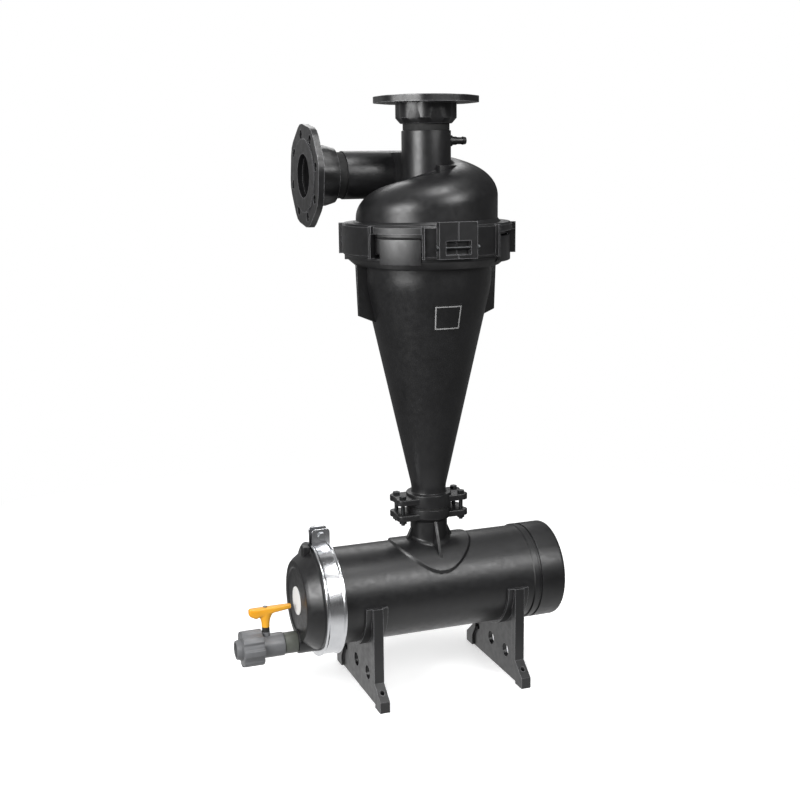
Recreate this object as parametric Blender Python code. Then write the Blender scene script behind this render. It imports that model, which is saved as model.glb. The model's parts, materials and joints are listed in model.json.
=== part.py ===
"""DN80 plastic hydrocyclone sand separator on a lying sediment tank, with its drain valve.

Metres, +Z up. The tank lies along X, its flushing valve points to -X, and the cyclone stands
on the tank. The inlet pipe enters the head from -X, behind the cyclone's axis. Each length is
named here, once, and each piece works out its place from them.
"""

import math

import bmesh
import bpy
import numpy as np

# Facets of round pieces.
LARGE_FACETS = 36
MOULDED_FACETS = 40
PIPE_FACETS = 20
SMALL_FACETS = 12
HEX_FACETS = 6

# Clearances that every joint shares.
SEAT_GAP = 0.0003
CUT_OVERRUN = 0.004

# Sediment tank: a closed tube along X, its open end at -X.
TANK_AXIS_HEIGHT = 0.199
TANK_RADIUS = 0.095
TANK_BORE_RADIUS = 0.087
TANK_JOINT_X = -0.230
TANK_SPIGOT_RADIUS = 0.092
TANK_SPIGOT_END_X = 0.2535
TANK_BEAD_X = 0.198
TANK_BEAD_HALF_WIDTH = 0.005
TANK_BEAD_SLOPE = 0.002
TANK_BEAD_HEIGHT = 0.0025

# End cap on the tank's closed end.
CAP_START_X = 0.209
CAP_END_X = 0.262
CAP_RADIUS = 0.0975
CAP_ROUNDING = 0.007
CAP_WALL = 0.006

# The two flanges under the band clamp.
JOINT_FLANGE_RADIUS = 0.104
JOINT_FLANGE_DEPTH = 0.013
JOINT_TAPER_DEPTH = 0.004
JOINT_TAPER_DROP = 0.0045
JOINT_GASKET_THICKNESS = 0.002
JOINT_GASKET_INNER = 0.088
JOINT_GASKET_OUTER = 0.102

# Band clamp of bright sheet, its ears and its bolt.
BAND_WIDTH = 0.040
BAND_SHEET = 0.005
BAND_RIM_HEIGHT = 0.0025
BAND_RIM_WIDTH = 0.004
BAND_GRIP = 0.0004
BAND_LEG_WIDTH = 0.0025
BAND_SLIT_WIDTH = 0.018
BAND_EAR_HEIGHT = 0.034
BAND_EAR_SHEET = 0.003
BAND_EAR_WIDTH = 0.036
BAND_EAR_ROUNDING = 0.007
BAND_BOLT_RADIUS = 0.004
BAND_BOLT_HEIGHT = 0.021
BAND_BOLT_HEAD_RADIUS = 0.0075
BAND_BOLT_HEAD_LENGTH = 0.0055
BAND_BOLT_TAIL = 0.012
BAND_TRUNNION_RADIUS = 0.0075
BAND_TRUNNION_LENGTH = 0.028

# Lid on the tank's open end.
LID_LENGTH = 0.050
LID_SHOULDER_RADIUS = 0.099
LID_SHOULDER_X = -0.252
LID_CONE_END_X = -0.274
LID_CONE_END_RADIUS = 0.084
LID_FACE_RADIUS = 0.078
LID_RECESS_RADIUS = 0.064
LID_RECESS_SLOPE = 0.002
LID_RECESS_DEPTH = 0.002
LID_WALL = 0.006
LID_LUG_WIDTH = 0.018
LID_LUG_LENGTH = 0.014
LID_LUG_TOP = 0.110
LID_DISC_RADIUS = 0.028
LID_DISC_THICKNESS = 0.0015

# Drain line: its axis is level, under the lid's middle.
DRAIN_HEIGHT = 0.115
DRAIN_BORE_RADIUS = 0.0120
DRAIN_BOSS_RADIUS = 0.0240
DRAIN_BOSS_LENGTH = 0.0295
DRAIN_SOCKET_RADIUS = 0.0160
DRAIN_SOCKET_DEPTH = 0.0130
DRAIN_BORE_END_X = -0.240
NIPPLE_COLLAR_RADIUS = 0.0210
NIPPLE_COLLAR_LENGTH = 0.0270
NIPPLE_SPIGOT_LENGTH = 0.0110
NIPPLE_COLLAR_CHAMFER = 0.0020

# Ball valve with a union on its outer end.
VALVE_BODY_RADIUS = 0.0230
VALVE_BODY_CHAMFER = 0.0015
VALVE_BODY_LENGTH = 0.0625
VALVE_THREAD_RADIUS = 0.0262
VALVE_THREAD_LENGTH = 0.0200
VALVE_SOCKET_DEPTH = 0.0115
VALVE_WEB = 0.0040
VALVE_CAVITY_RADIUS = 0.0180
STEM_OFFSET = 0.0339
BALL_RADIUS = 0.0165
BALL_BORE_RADIUS = 0.0117
BALL_CLEARANCE = 0.0004
BALL_SLOT_WIDTH = 0.0044
BALL_SLOT_LENGTH = 0.0160
BALL_SLOT_DEPTH = 0.0044
SEAT_RING_LIP = 0.0029
STEM_RADIUS = 0.0055
STEM_TOP = 0.0580
STEM_TAB_WIDTH = 0.0036
STEM_TAB_LENGTH = 0.0110
STEM_BOSS_RADIUS = 0.0080
STEM_BOSS_TOP = 0.0300
GLAND_RADIUS = 0.0074
GLAND_LENGTH = 0.0098
UNION_SEAL_THICKNESS = 0.0016
UNION_SEAL_INNER = 0.0195
UNION_SEAL_OUTER = 0.0240
UNION_FLANGE_RADIUS = 0.0255
UNION_FLANGE_LENGTH = 0.0045
UNION_TAIL_RADIUS = 0.0207
UNION_TAIL_LENGTH = 0.0150
UNION_TIP_RADIUS = 0.0180
UNION_TIP_LENGTH = 0.0105
UNION_BORE_RADIUS = 0.0135
UNION_SOCKET_RADIUS = 0.0145
UNION_SOCKET_DEPTH = 0.0190
NUT_LENGTH = 0.0415
NUT_ROOT_RADIUS = 0.0320
NUT_LOBE_RADIUS = 0.0360
NUT_LOBES = 8
NUT_CHAMFER = 0.0030

# Butterfly handle on the valve's stem.
HANDLE_REACH = 0.0520
HANDLE_TAIL_REACH = 0.0330
HANDLE_TAIL_THICKNESS = 0.0140
HANDLE_TAIL_ROOT_THICKNESS = 0.0210
HANDLE_BOTTOM = 0.0405
HANDLE_WAIST = 0.0560
HANDLE_BAR_BOTTOM = 0.0680
HANDLE_TOP = 0.0800
HANDLE_HUB_RADIUS = 0.0078
HANDLE_WAIST_REACH = 0.0115
HANDLE_SHOULDER_REACH = 0.0200
HANDLE_HALF_WIDTH = 0.0080
HANDLE_TIP_HALF_WIDTH = 0.0060
HANDLE_TIP_THICKNESS = 0.0085
HANDLE_SOCKET_DEPTH = 0.0200
SCREW_RADIUS = 0.0020
SCREW_HEAD_RADIUS = 0.0042
SCREW_HEAD_HEIGHT = 0.0024
SCREW_DEPTH = 0.0100

# Saddles under the tank.
SADDLE_CENTRE_X = 0.003
SADDLE_SPACING = 0.300
SADDLE_WEB = 0.010
SADDLE_POST_WIDTH = 0.020
SADDLE_POST_DEPTH = 0.015
SADDLE_POST_Y = 0.106
SADDLE_FOOT_Y = 0.138
SADDLE_FOOT_HEIGHT = 0.022
SADDLE_FLARE_HEIGHT = 0.048
SADDLE_FOOT_DEPTH = 0.030
SADDLE_CRADLE_WIDTH = 0.044
SADDLE_CRADLE_THICKNESS = 0.006
SADDLE_HOLE_RADIUS = 0.014
SADDLE_HOLE_HEIGHT = 0.049
SADDLE_HOLE_Y = (-0.050, 0.020)
SADDLE_SMALL_HOLE_RADIUS = 0.0065
SADDLE_SMALL_HOLE_Y = 0.086
SADDLE_BOLT_HOLE_RADIUS = 0.0045
SADDLE_BOLT_Y = 0.122

# Neck that carries the cyclone on the tank, with its pad and gussets.
NECK_RADIUS = 0.037
NECK_BORE_RADIUS = 0.028
NECK_TOP_HEIGHT = 0.362
NECK_RING_LENGTH = 0.026
PAD_RADIUS = 0.082
PAD_THICKNESS = 0.0045
GUSSET_THICKNESS = 0.007
GUSSET_FRONT_DROP = 0.023
GUSSET_FRONT_REACH = 0.0700
GUSSET_FRONT_FOOT_HEIGHT = 0.266
GUSSET_SIDE_DROP = 0.042
GUSSET_SIDE_REACH = 0.0520
GUSSET_SIDE_FOOT_HEIGHT = 0.292

# Bolted coupling between the neck and the cone.
COUPLING_RING_RADIUS = 0.045
COUPLING_EAR_THICKNESS = 0.012
COUPLING_EAR_OFFSET = 0.008
COUPLING_BOLT_X = 0.062
COUPLING_BOLT_Y = 0.019
COUPLING_LOBE_RADIUS = 0.013
COUPLING_GASKET_THICKNESS = 0.0034
COUPLING_GASKET_INNER = 0.030
COUPLING_GASKET_OUTER = 0.044
COUPLING_BOLT_RADIUS = 0.004
COUPLING_HEAD_RADIUS = 0.0075
COUPLING_HEAD_LENGTH = 0.0055
COUPLING_BOLT_TAIL = 0.004

# Cone: a short barrel over a long taper, with a fin on each side.
CONE_RING_LENGTH = 0.026
CONE_SPIGOT_RADIUS = 0.0345
CONE_SPIGOT_LENGTH = 0.013
CONE_WALL = 0.0055
CONE_APEX_RADIUS = 0.020
BARREL_RADIUS = 0.124
BARREL_BOTTOM_HEIGHT = 0.810
COLLAR_BOTTOM_HEIGHT = 0.846
COLLAR_LIP_RADIUS = 0.139
COLLAR_RADIUS = 0.156
COLLAR_CHAMFER_HEIGHT = 0.015
FIN_THICKNESS = 0.008
FIN_TOP_RADIUS = 0.145
FIN_BOTTOM_RADIUS = 0.1415
FIN_BOTTOM_HEIGHT = 0.752
FIN_TOE_HEIGHT = 0.738

# Joint between head and cone, and the clamp ring round it.
HEAD_JOINT_HEIGHT = 0.9045
HEAD_GASKET_THICKNESS = 0.0024
HEAD_GASKET_INNER = 0.134
HEAD_GASKET_OUTER = 0.150
RIM_RADIUS = 0.154
RIM_THROAT_RADIUS = 0.1415
CLAMP_RISE = 0.0225
CLAMP_DROP = 0.0375
CLAMP_LIP = 0.007
CLAMP_RADIUS = 0.163
CLAMP_CHANNEL_CLEARANCE = 0.0010
CLAMP_CHAMFER = 0.004
CLAMP_SPLIT_ANGLE = math.radians(-92)
CLAMP_SPLIT_GAP = 0.0010
CLAMP_BLOCK_REACH = 0.037
CLAMP_BLOCK_RADIUS = 0.171
CLAMP_BLOCK_WALL = 0.013
CLAMP_BLOCK_INSET = 0.0005
CLAMP_BLOCK_STAND = 0.0070
CLAMP_POCKET_FLOOR = 0.005
CLAMP_POCKET_HEIGHT = 0.025
CLAMP_POCKET_DROP = 0.0270
CLAMP_BOLT_RADIUS = 0.003
CLAMP_BOLT_HEAD_RADIUS = 0.0055
CLAMP_BOLT_HEAD_LENGTH = 0.0045
CLAMP_BOLT_DEPTH = 0.0050
CLAMP_WINDOW_ANGLES = (math.radians(50.3), math.radians(140.3))
CLAMP_WINDOW_HALF_ANGLE = math.radians(17.2)
CLAMP_WINDOW_TOP_RISE = 0.0070
CLAMP_RIB_RADIUS = 0.170
CLAMP_RIB_WIDTH = 0.006
CLAMP_RIB_TOP_DROP = 0.001
TAB_HALF_ANGLE = math.radians(14.3)
TAB_TURN = math.radians(2.0)
TAB_RADIUS = 0.160
TAB_BOTTOM_HEIGHT = 0.855

# Head: a chamber whose roof falls as a helix, a straight inlet along X and an outlet neck.
HEAD_WALL = 0.006
HEAD_WALL_RADIUS = 0.136
HEAD_FOOT_FLARE = 0.0035
HEAD_FOOT_HEIGHT = 0.002
ROOF_HEIGHT = 1.062
ROOF_FALL = 0.0840
ROOF_FLAT_RADIUS = 0.056
ROOF_INLET_FLAT = 0.050
ROOF_HUB_RADIUS = 0.0385
SHOULDER_DEPTH = 0.060
SHOULDER_INLET_RISE = 0.011
WELD_DISTANCE = 0.000002
NECK_FILLET = 0.0100
NECK_FILLET_INSET = 0.0020
LEDGE_DROP = 0.0295
LEDGE_RADIUS = 0.060
LEDGE_START_ANGLE = math.radians(-86.5)
LEDGE_END_ANGLE = math.radians(-24)
STEP_ANGLE = math.radians(18)
VOLUTE_ANGLE = math.radians(110)
INLET_Y = 0.107
INLET_HEIGHT = 1.015
INLET_RADIUS = 0.0465
INLET_BORE_RADIUS = 0.0418
INLET_FACE_X = -0.213
INLET_PIPE_END_X = 0.003
INLET_BORE_END_X = -0.001
INLET_COVER = 0.0006
OUTLET_RADIUS = 0.0470
OUTLET_STAND = 0.100
PIPE_WEB_THICKNESS = 0.006
PIPE_WEB_X = -0.037
PIPE_WEB_BOTTOM_HEIGHT = 0.972
PIPE_WEB_TOP_HEIGHT = 1.058

# Threaded end of each pipe and the flange screwed on it.
THREAD_RADIUS = 0.0458
THREAD_CLEARANCE = 0.0004
RELIEF_RADIUS = 0.0445
FLANGE_CORNER_RADIUS = 0.100
FLANGE_FLAT_RADIUS = 0.0955
FLANGE_THICKNESS = 0.014
FLANGE_RAISED_RADIUS = 0.070
FLANGE_RAISED_HEIGHT = 0.002
FLANGE_SIDES = 8
FLANGE_LIP = 0.011
FLANGE_SEAL_THICKNESS = 0.0022
FLANGE_BOLT_CIRCLE_RADIUS = 0.080
FLANGE_BOLT_HOLE_RADIUS = 0.009
HUB_RADIUS = 0.058
HUB_RECESS = 0.003
HUB_END = 0.042
OUTLET_HUB_TIP = 0.052
OUTLET_HUB_TIP_RADIUS = 0.0490
OUTLET_RELIEF_END = 0.060
OUTLET_FLANGE_TURN = math.radians(22.5)
INLET_HUB_TIP = 0.059
INLET_HUB_TIP_RADIUS = 0.0530
INLET_RELIEF_END = 0.079
INLET_FLANGE_TURN = math.radians(12.5)

# Vortex finder pressed into the outlet neck, and the gauge tap on the neck.
FINDER_WALL = 0.004
FINDER_BOTTOM_HEIGHT = 0.900
FINDER_TOP_HEIGHT = 1.085
TAP_HEIGHT = 1.078
TAP_BOSS_RADIUS = 0.0105
TAP_BOSS_REACH = 0.0520
TAP_RADIUS = 0.0080
TAP_REACH = 0.0810
TAP_BARB_DEPTH = 0.0012
TAP_SPIGOT_RADIUS = 0.0050
TAP_BORE_RADIUS = 0.0028

# Shares and counts of outlines.
SHOULDER_ANGLES_SHARE = (1 / 6, 2 / 6, 3 / 6, 4 / 6, 5 / 6, 1)
FILLET_ANGLES_SHARE = (0, 1 / 2, 1)
HUB_PANEL_SHARE = 0.62
FOOT_WALL_SHARE = 0.5
NUT_LOBE_SHARE = 0.55

# Finishes: colour, roughness, metallic.
FINISHES = {
    "black_nylon": ((0.024, 0.024, 0.025), 0.42, 0.0),
    "black_rubber": ((0.012, 0.012, 0.012), 0.70, 0.0),
    "bright_steel": ((0.62, 0.62, 0.63), 0.22, 1.0),
    "zinc_steel": ((0.42, 0.43, 0.44), 0.35, 1.0),
    "grey_pvc": ((0.13, 0.13, 0.135), 0.45, 0.0),
    "olive_pvc": ((0.095, 0.10, 0.085), 0.45, 0.0),
    "white_plastic": ((0.80, 0.80, 0.80), 0.40, 0.0),
    "yellow_plastic": ((0.78, 0.38, 0.03), 0.40, 0.0),
    "seat_plastic": ((0.75, 0.75, 0.72), 0.35, 0.0),
}


def finish(name):
    """The Principled material of this name, made once."""
    material = bpy.data.materials.get(name)
    if material:
        return material
    colour, roughness, metallic = FINISHES[name]
    material = bpy.data.materials.new(name)
    material.use_nodes = True
    shader = material.node_tree.nodes["Principled BSDF"]
    shader.inputs["Base Color"].default_value = (*colour, 1)
    shader.inputs["Roughness"].default_value = roughness
    shader.inputs["Metallic"].default_value = metallic
    material.diffuse_color = (*colour, 1)
    return material


def solid(name, points, faces, material=None):
    """An object from points and faces, its faces turned outwards."""
    mesh = bpy.data.meshes.new(name)
    mesh.from_pydata(np.asarray(points, float).tolist(), [], faces)
    work = bmesh.new()
    work.from_mesh(mesh)
    bmesh.ops.recalc_face_normals(work, faces=work.faces)
    work.to_mesh(mesh)
    work.free()
    mesh.shade_smooth()
    mesh.set_sharp_from_angle(angle=math.radians(30))
    piece = bpy.data.objects.new(name, mesh)
    bpy.context.collection.objects.link(piece)
    if material:
        mesh.materials.append(finish(material))
    return piece


def loft(name, rings, material=None, ring_shaped=False):
    """A closed skin over rings of equally many points. A ring-shaped one joins its last ring
    to its first, any other is closed by a face at each end."""
    rings = [np.asarray(ring, float) for ring in rings]
    count = len(rings[0])
    points = np.concatenate(rings)
    here = np.arange(count)
    there = np.roll(here, -1)
    last = len(rings) if ring_shaped else len(rings) - 1
    faces = []
    for index in range(last):
        low = index * count
        high = ((index + 1) % len(rings)) * count
        quads = np.stack([low + here, low + there, high + there, high + here], axis=1)
        faces += quads.tolist()
    if not ring_shaped:
        faces.append(here[::-1].tolist())
        faces.append((here + (len(rings) - 1) * count).tolist())
    return solid(name, points, faces, material)


def circle(radius, height, facets, start=0.0):
    """A ring of points round Z. The radius may be an array with one value for each point."""
    angles = start + np.arange(facets) * (2 * math.pi / facets)
    reach = np.broadcast_to(radius, angles.shape)
    level = np.broadcast_to(height, angles.shape)
    return np.stack([reach * np.cos(angles), reach * np.sin(angles), level], axis=1)


def along_x(points):
    """Points round Z laid down so that their height runs along +X."""
    points = np.asarray(points, float)
    return np.stack([points[:, 2], points[:, 0], points[:, 1]], axis=1)


def along_y(points):
    """Points round Z laid down so that their height runs along +Y."""
    points = np.asarray(points, float)
    return np.stack([points[:, 0], points[:, 2], points[:, 1]], axis=1)


def turned(name, outline, facets, material=None, lie=None, ring_shaped=True):
    """A turned piece. The outline lists (radius, height), and lie lays its axis down."""
    rings = [circle(radius, height, facets) for radius, height in outline]
    if lie:
        rings = [lie(ring) for ring in rings]
    return loft(name, rings, material, ring_shaped)


def rod(name, radius, low, high, facets, material=None, lie=None, centre=(0, 0, 0)):
    """A plain round bar between two heights."""
    piece = turned(name, [(radius, low), (radius, high)], facets, material, lie, False)
    shift(piece, centre)
    return piece


def block(name, low, high, material=None):
    """A box between two corners."""
    x, y, z = zip(low, high)
    rings = [
        [(x[0], y[0], level), (x[1], y[0], level), (x[1], y[1], level), (x[0], y[1], level)]
        for level in z
    ]
    return loft(name, rings, material)


def plate(name, outline, low, high, axis, material=None):
    """An outline of two coordinates, extruded along the third axis from low to high."""
    rings = []
    for level in (low, high):
        ring = np.insert(np.asarray(outline, float), axis, level, axis=1)
        rings.append(ring)
    return loft(name, rings, material)


def shift(piece, offset):
    """Moves a piece's points, not its object."""
    mesh = piece.data
    points = np.empty(len(mesh.vertices) * 3)
    mesh.vertices.foreach_get("co", points)
    points = points.reshape(-1, 3) + np.asarray(offset, float)
    mesh.vertices.foreach_set("co", points.ravel())
    mesh.update()


def turn(piece, angle):
    """Turns a piece's points about Z."""
    mesh = piece.data
    points = np.empty(len(mesh.vertices) * 3)
    mesh.vertices.foreach_get("co", points)
    points = points.reshape(-1, 3)
    cosine, sine = math.cos(angle), math.sin(angle)
    turned_x = points[:, 0] * cosine - points[:, 1] * sine
    turned_y = points[:, 0] * sine + points[:, 1] * cosine
    points = np.stack([turned_x, turned_y, points[:, 2]], axis=1)
    mesh.vertices.foreach_set("co", points.ravel())
    mesh.update()


def combine(piece, tool, operation):
    """Joins a tool to a piece, or cuts it out, and keeps the result as the piece's mesh."""
    modifier = piece.modifiers.new("Shape", "BOOLEAN")
    modifier.operation = operation
    modifier.object = tool
    modifier.solver = "EXACT"
    graph = bpy.context.evaluated_depsgraph_get()
    mesh = bpy.data.meshes.new_from_object(piece.evaluated_get(graph))
    piece.modifiers.clear()
    old = piece.data
    piece.data = mesh
    bpy.data.meshes.remove(old)
    bpy.data.objects.remove(tool)
    mesh.shade_smooth()
    mesh.set_sharp_from_angle(angle=math.radians(30))


def add(piece, tool):
    combine(piece, tool, "UNION")


def cut(piece, tool):
    combine(piece, tool, "DIFFERENCE")


def weld(piece):
    """Merges points of a cut piece that lie closer than a saw could tell apart."""
    mesh = bmesh.new()
    mesh.from_mesh(piece.data)
    bmesh.ops.remove_doubles(mesh, verts=mesh.verts, dist=WELD_DISTANCE)
    mesh.to_mesh(piece.data)
    mesh.free()
    piece.data.update()


def empty(name, location, parent=None):
    """A named point that carries pieces."""
    point = bpy.data.objects.new(name, None)
    bpy.context.collection.objects.link(point)
    point.location = location
    point.parent = parent
    return point


def carried(piece, parent, location=(0, 0, 0), turned_by=0.0):
    """Puts a piece on the point that carries it."""
    piece.parent = parent
    piece.location = location
    piece.rotation_euler = (0, 0, turned_by)
    return piece


def arc(centre, radius, start, end, steps):
    """Points along an arc, both ends included. Angles are in radians."""
    angles = np.linspace(start, end, steps + 1)
    return [
        (centre[0] + radius * math.cos(angle), centre[1] + radius * math.sin(angle))
        for angle in angles
    ]


def tank_flange(side):
    """Outline of a flange under the band, from its face outwards. Side is +1 or -1 along X."""
    face = TANK_JOINT_X + side * (JOINT_GASKET_THICKNESS / 2 + SEAT_GAP)
    back = TANK_JOINT_X + side * JOINT_FLANGE_DEPTH
    taper_end = back + side * JOINT_TAPER_DEPTH
    return [
        (JOINT_FLANGE_RADIUS, face),
        (JOINT_FLANGE_RADIUS, back),
        (JOINT_FLANGE_RADIUS - JOINT_TAPER_DROP, taper_end),
    ]


def coupling_ears(low):
    """Plate with four bolt lobes, two on each side along X, from this height up."""
    reach = math.radians(100)
    waist = math.radians(35)
    outline = []
    for side in (0, math.pi):
        for number, offset in enumerate((-COUPLING_BOLT_Y, COUPLING_BOLT_Y)):
            centre = np.array([COUPLING_BOLT_X, offset])
            start, end = (-reach, waist) if number == 0 else (-waist, reach)
            points = np.array(arc(centre, COUPLING_LOBE_RADIUS, start, end, 5))
            cosine, sine = round(math.cos(side)), round(math.sin(side))
            turned_points = points @ np.array([[cosine, sine], [-sine, cosine]])
            outline += turned_points.tolist()
    piece = plate("ears", outline, low, low + COUPLING_EAR_THICKNESS, 2)
    for x in (-COUPLING_BOLT_X, COUPLING_BOLT_X):
        for y in (-COUPLING_BOLT_Y, COUPLING_BOLT_Y):
            hole = rod(
                "hole",
                COUPLING_BOLT_RADIUS + SEAT_GAP,
                low - CUT_OVERRUN,
                low + COUPLING_EAR_THICKNESS + CUT_OVERRUN,
                SMALL_FACETS,
                centre=(x, y, 0),
            )
            cut(piece, hole)
    return piece


def gusset(top_height, reach, foot_height, direction):
    """One triangular web between the neck and the tank, out along an angle about Z."""
    inside = (NECK_RADIUS + NECK_BORE_RADIUS) / 2
    outline = [
        (inside, top_height),
        (NECK_RADIUS + GUSSET_THICKNESS / 4, top_height),
        (reach, foot_height),
        (inside, foot_height - GUSSET_THICKNESS),
    ]
    piece = plate("gusset", outline, -GUSSET_THICKNESS / 2, GUSSET_THICKNESS / 2, 1)
    turn(piece, direction)
    shift(piece, (0, 0, -TANK_AXIS_HEIGHT))
    return piece


def make_pad():
    """The wrapped pad under the neck: an upright disc kept to a skin round the tank."""
    top = TANK_RADIUS + PAD_THICKNESS
    pad = rod("pad", PAD_RADIUS, 0, top + CUT_OVERRUN, PIPE_FACETS)
    limit = rod("limit", top, -2 * PAD_RADIUS, 2 * PAD_RADIUS, LARGE_FACETS, lie=along_x)
    combine(pad, limit, "INTERSECT")
    return pad


def make_tank_shell(tank):
    """Tank tube with its flange, bead, pad, neck, gussets and coupling ears, one moulding."""
    bead_low = TANK_BEAD_X - TANK_BEAD_HALF_WIDTH
    bead_high = TANK_BEAD_X + TANK_BEAD_HALF_WIDTH
    bead_radius = TANK_RADIUS + TANK_BEAD_HEIGHT
    flange = tank_flange(1)
    spigot_start = CAP_START_X - SEAT_GAP
    outline = flange + [
        (TANK_RADIUS, flange[-1][1] + JOINT_TAPER_DEPTH),
        (TANK_RADIUS, bead_low - TANK_BEAD_SLOPE),
        (bead_radius, bead_low),
        (bead_radius, bead_high),
        (TANK_RADIUS, bead_high + TANK_BEAD_SLOPE),
        (TANK_RADIUS, spigot_start),
        (TANK_SPIGOT_RADIUS, spigot_start),
        (TANK_SPIGOT_RADIUS, TANK_SPIGOT_END_X),
    ]
    shell = turned(
        "tank_shell", outline, LARGE_FACETS, "black_nylon", along_x, ring_shaped=False
    )
    neck_top = NECK_TOP_HEIGHT - TANK_AXIS_HEIGHT
    add(shell, make_pad())
    neck = turned(
        "neck",
        [
            (NECK_RADIUS, TANK_BORE_RADIUS - CUT_OVERRUN),
            (NECK_RADIUS, neck_top - NECK_RING_LENGTH),
            (COUPLING_RING_RADIUS, neck_top - NECK_RING_LENGTH + COUPLING_EAR_OFFSET),
            (COUPLING_RING_RADIUS, neck_top),
        ],
        PIPE_FACETS,
        ring_shaped=False,
    )
    add(shell, neck)
    for direction in (math.pi / 2, -math.pi / 2):
        add(
            shell,
            gusset(
                NECK_TOP_HEIGHT - GUSSET_FRONT_DROP,
                GUSSET_FRONT_REACH,
                GUSSET_FRONT_FOOT_HEIGHT,
                direction,
            ),
        )
    for direction in (0, math.pi):
        add(
            shell,
            gusset(
                NECK_TOP_HEIGHT - GUSSET_SIDE_DROP,
                GUSSET_SIDE_REACH,
                GUSSET_SIDE_FOOT_HEIGHT,
                direction,
            ),
        )
    add(shell, coupling_ears(neck_top - COUPLING_EAR_OFFSET - COUPLING_EAR_THICKNESS))
    bore = rod(
        "bore",
        TANK_BORE_RADIUS,
        TANK_JOINT_X - CUT_OVERRUN,
        CAP_END_X + CUT_OVERRUN,
        LARGE_FACETS,
        lie=along_x,
    )
    cut(shell, bore)
    cut(shell, rod("bore", NECK_BORE_RADIUS, 0, neck_top + CUT_OVERRUN, PIPE_FACETS))
    carried(shell, tank)


def make_end_cap(tank):
    """Cup glued over the tank's spigot, its outer edge rounded."""
    inner = TANK_SPIGOT_RADIUS + SEAT_GAP
    floor = TANK_SPIGOT_END_X + SEAT_GAP
    rounding_start = CAP_END_X - CAP_ROUNDING
    outline = [(inner, CAP_START_X), (CAP_RADIUS, CAP_START_X), (CAP_RADIUS, rounding_start)]
    corner = arc(
        (CAP_RADIUS - CAP_ROUNDING, rounding_start), CAP_ROUNDING, 0, math.pi / 2, 3
    )
    outline += corner[1:]
    hub = CAP_ROUNDING
    outline += [(hub, CAP_END_X), (hub, floor), (inner, floor)]
    cap = turned("tank_end_cap", outline, LARGE_FACETS, "black_nylon", along_x)
    core_low = floor
    middle = rod("middle", 2 * hub, core_low, CAP_END_X, LARGE_FACETS, lie=along_x)
    add(cap, middle)
    carried(cap, tank)


def make_lid(tank):
    """Stepped lid with a recessed face, a lug on top and the drain boss under it."""
    face_x = TANK_JOINT_X - LID_LENGTH
    flange = tank_flange(-1)
    inner_radius = TANK_BORE_RADIUS
    outer = flange + [
        (LID_SHOULDER_RADIUS, LID_SHOULDER_X),
        (LID_CONE_END_RADIUS, LID_CONE_END_X),
        (LID_FACE_RADIUS, face_x),
        (LID_RECESS_RADIUS + LID_RECESS_SLOPE, face_x),
        (LID_RECESS_RADIUS, face_x + LID_RECESS_DEPTH),
    ]
    lid = turned("lid", outer, LARGE_FACETS, "black_nylon", along_x, ring_shaped=False)
    drain_z = DRAIN_HEIGHT - TANK_AXIS_HEIGHT
    boss_end = LID_SHOULDER_X - DRAIN_BOSS_LENGTH
    boss = rod(
        "boss",
        DRAIN_BOSS_RADIUS,
        boss_end,
        LID_SHOULDER_X,
        PIPE_FACETS,
        lie=along_x,
        centre=(0, 0, drain_z),
    )
    add(lid, boss)
    lug = block(
        "lug",
        (LID_SHOULDER_X - LID_LUG_LENGTH, -LID_LUG_WIDTH / 2, LID_FACE_RADIUS),
        (LID_SHOULDER_X, LID_LUG_WIDTH / 2, LID_LUG_TOP),
    )
    add(lid, lug)
    hollow_end = face_x + LID_RECESS_DEPTH + LID_WALL
    hollow = turned(
        "hollow",
        [
            (inner_radius, TANK_JOINT_X + CUT_OVERRUN),
            (inner_radius, LID_SHOULDER_X),
            (LID_CONE_END_RADIUS - 2 * LID_WALL, hollow_end),
        ],
        LARGE_FACETS,
        lie=along_x,
        ring_shaped=False,
    )
    cut(lid, hollow)
    socket = turned(
        "socket",
        [
            (DRAIN_SOCKET_RADIUS, boss_end - CUT_OVERRUN),
            (DRAIN_SOCKET_RADIUS, boss_end + DRAIN_SOCKET_DEPTH),
            (DRAIN_BORE_RADIUS, boss_end + DRAIN_SOCKET_DEPTH),
            (DRAIN_BORE_RADIUS, DRAIN_BORE_END_X),
        ],
        PIPE_FACETS,
        lie=along_x,
        ring_shaped=False,
    )
    shift(socket, (0, 0, drain_z))
    cut(lid, socket)
    carried(lid, tank)
    disc_back = face_x + LID_RECESS_DEPTH - SEAT_GAP
    disc = rod(
        "lid_disc",
        LID_DISC_RADIUS,
        disc_back - LID_DISC_THICKNESS,
        disc_back,
        PIPE_FACETS,
        "white_plastic",
        along_x,
    )
    carried(disc, tank)


def make_lid_gasket(tank):
    half = JOINT_GASKET_THICKNESS / 2
    outline = [
        (JOINT_GASKET_INNER, TANK_JOINT_X - half),
        (JOINT_GASKET_OUTER, TANK_JOINT_X - half),
        (JOINT_GASKET_OUTER, TANK_JOINT_X + half),
        (JOINT_GASKET_INNER, TANK_JOINT_X + half),
    ]
    carried(turned("lid_gasket", outline, LARGE_FACETS, "black_rubber", along_x), tank)


def band_outline():
    """Half of the band's section, from its edge to its middle, outer side then inner side."""
    half = BAND_WIDTH / 2
    channel = JOINT_FLANGE_RADIUS + BAND_GRIP
    leg = channel - JOINT_TAPER_DROP
    outer = channel + BAND_SHEET
    outside = [
        (leg, half),
        (outer + BAND_RIM_HEIGHT, half),
        (outer + BAND_RIM_HEIGHT, half - BAND_RIM_WIDTH),
        (outer, half - BAND_RIM_WIDTH - BAND_RIM_HEIGHT),
    ]
    inside = [
        (channel, JOINT_FLANGE_DEPTH + BAND_GRIP),
        (leg, half - BAND_LEG_WIDTH),
    ]
    return outside, inside


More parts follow.
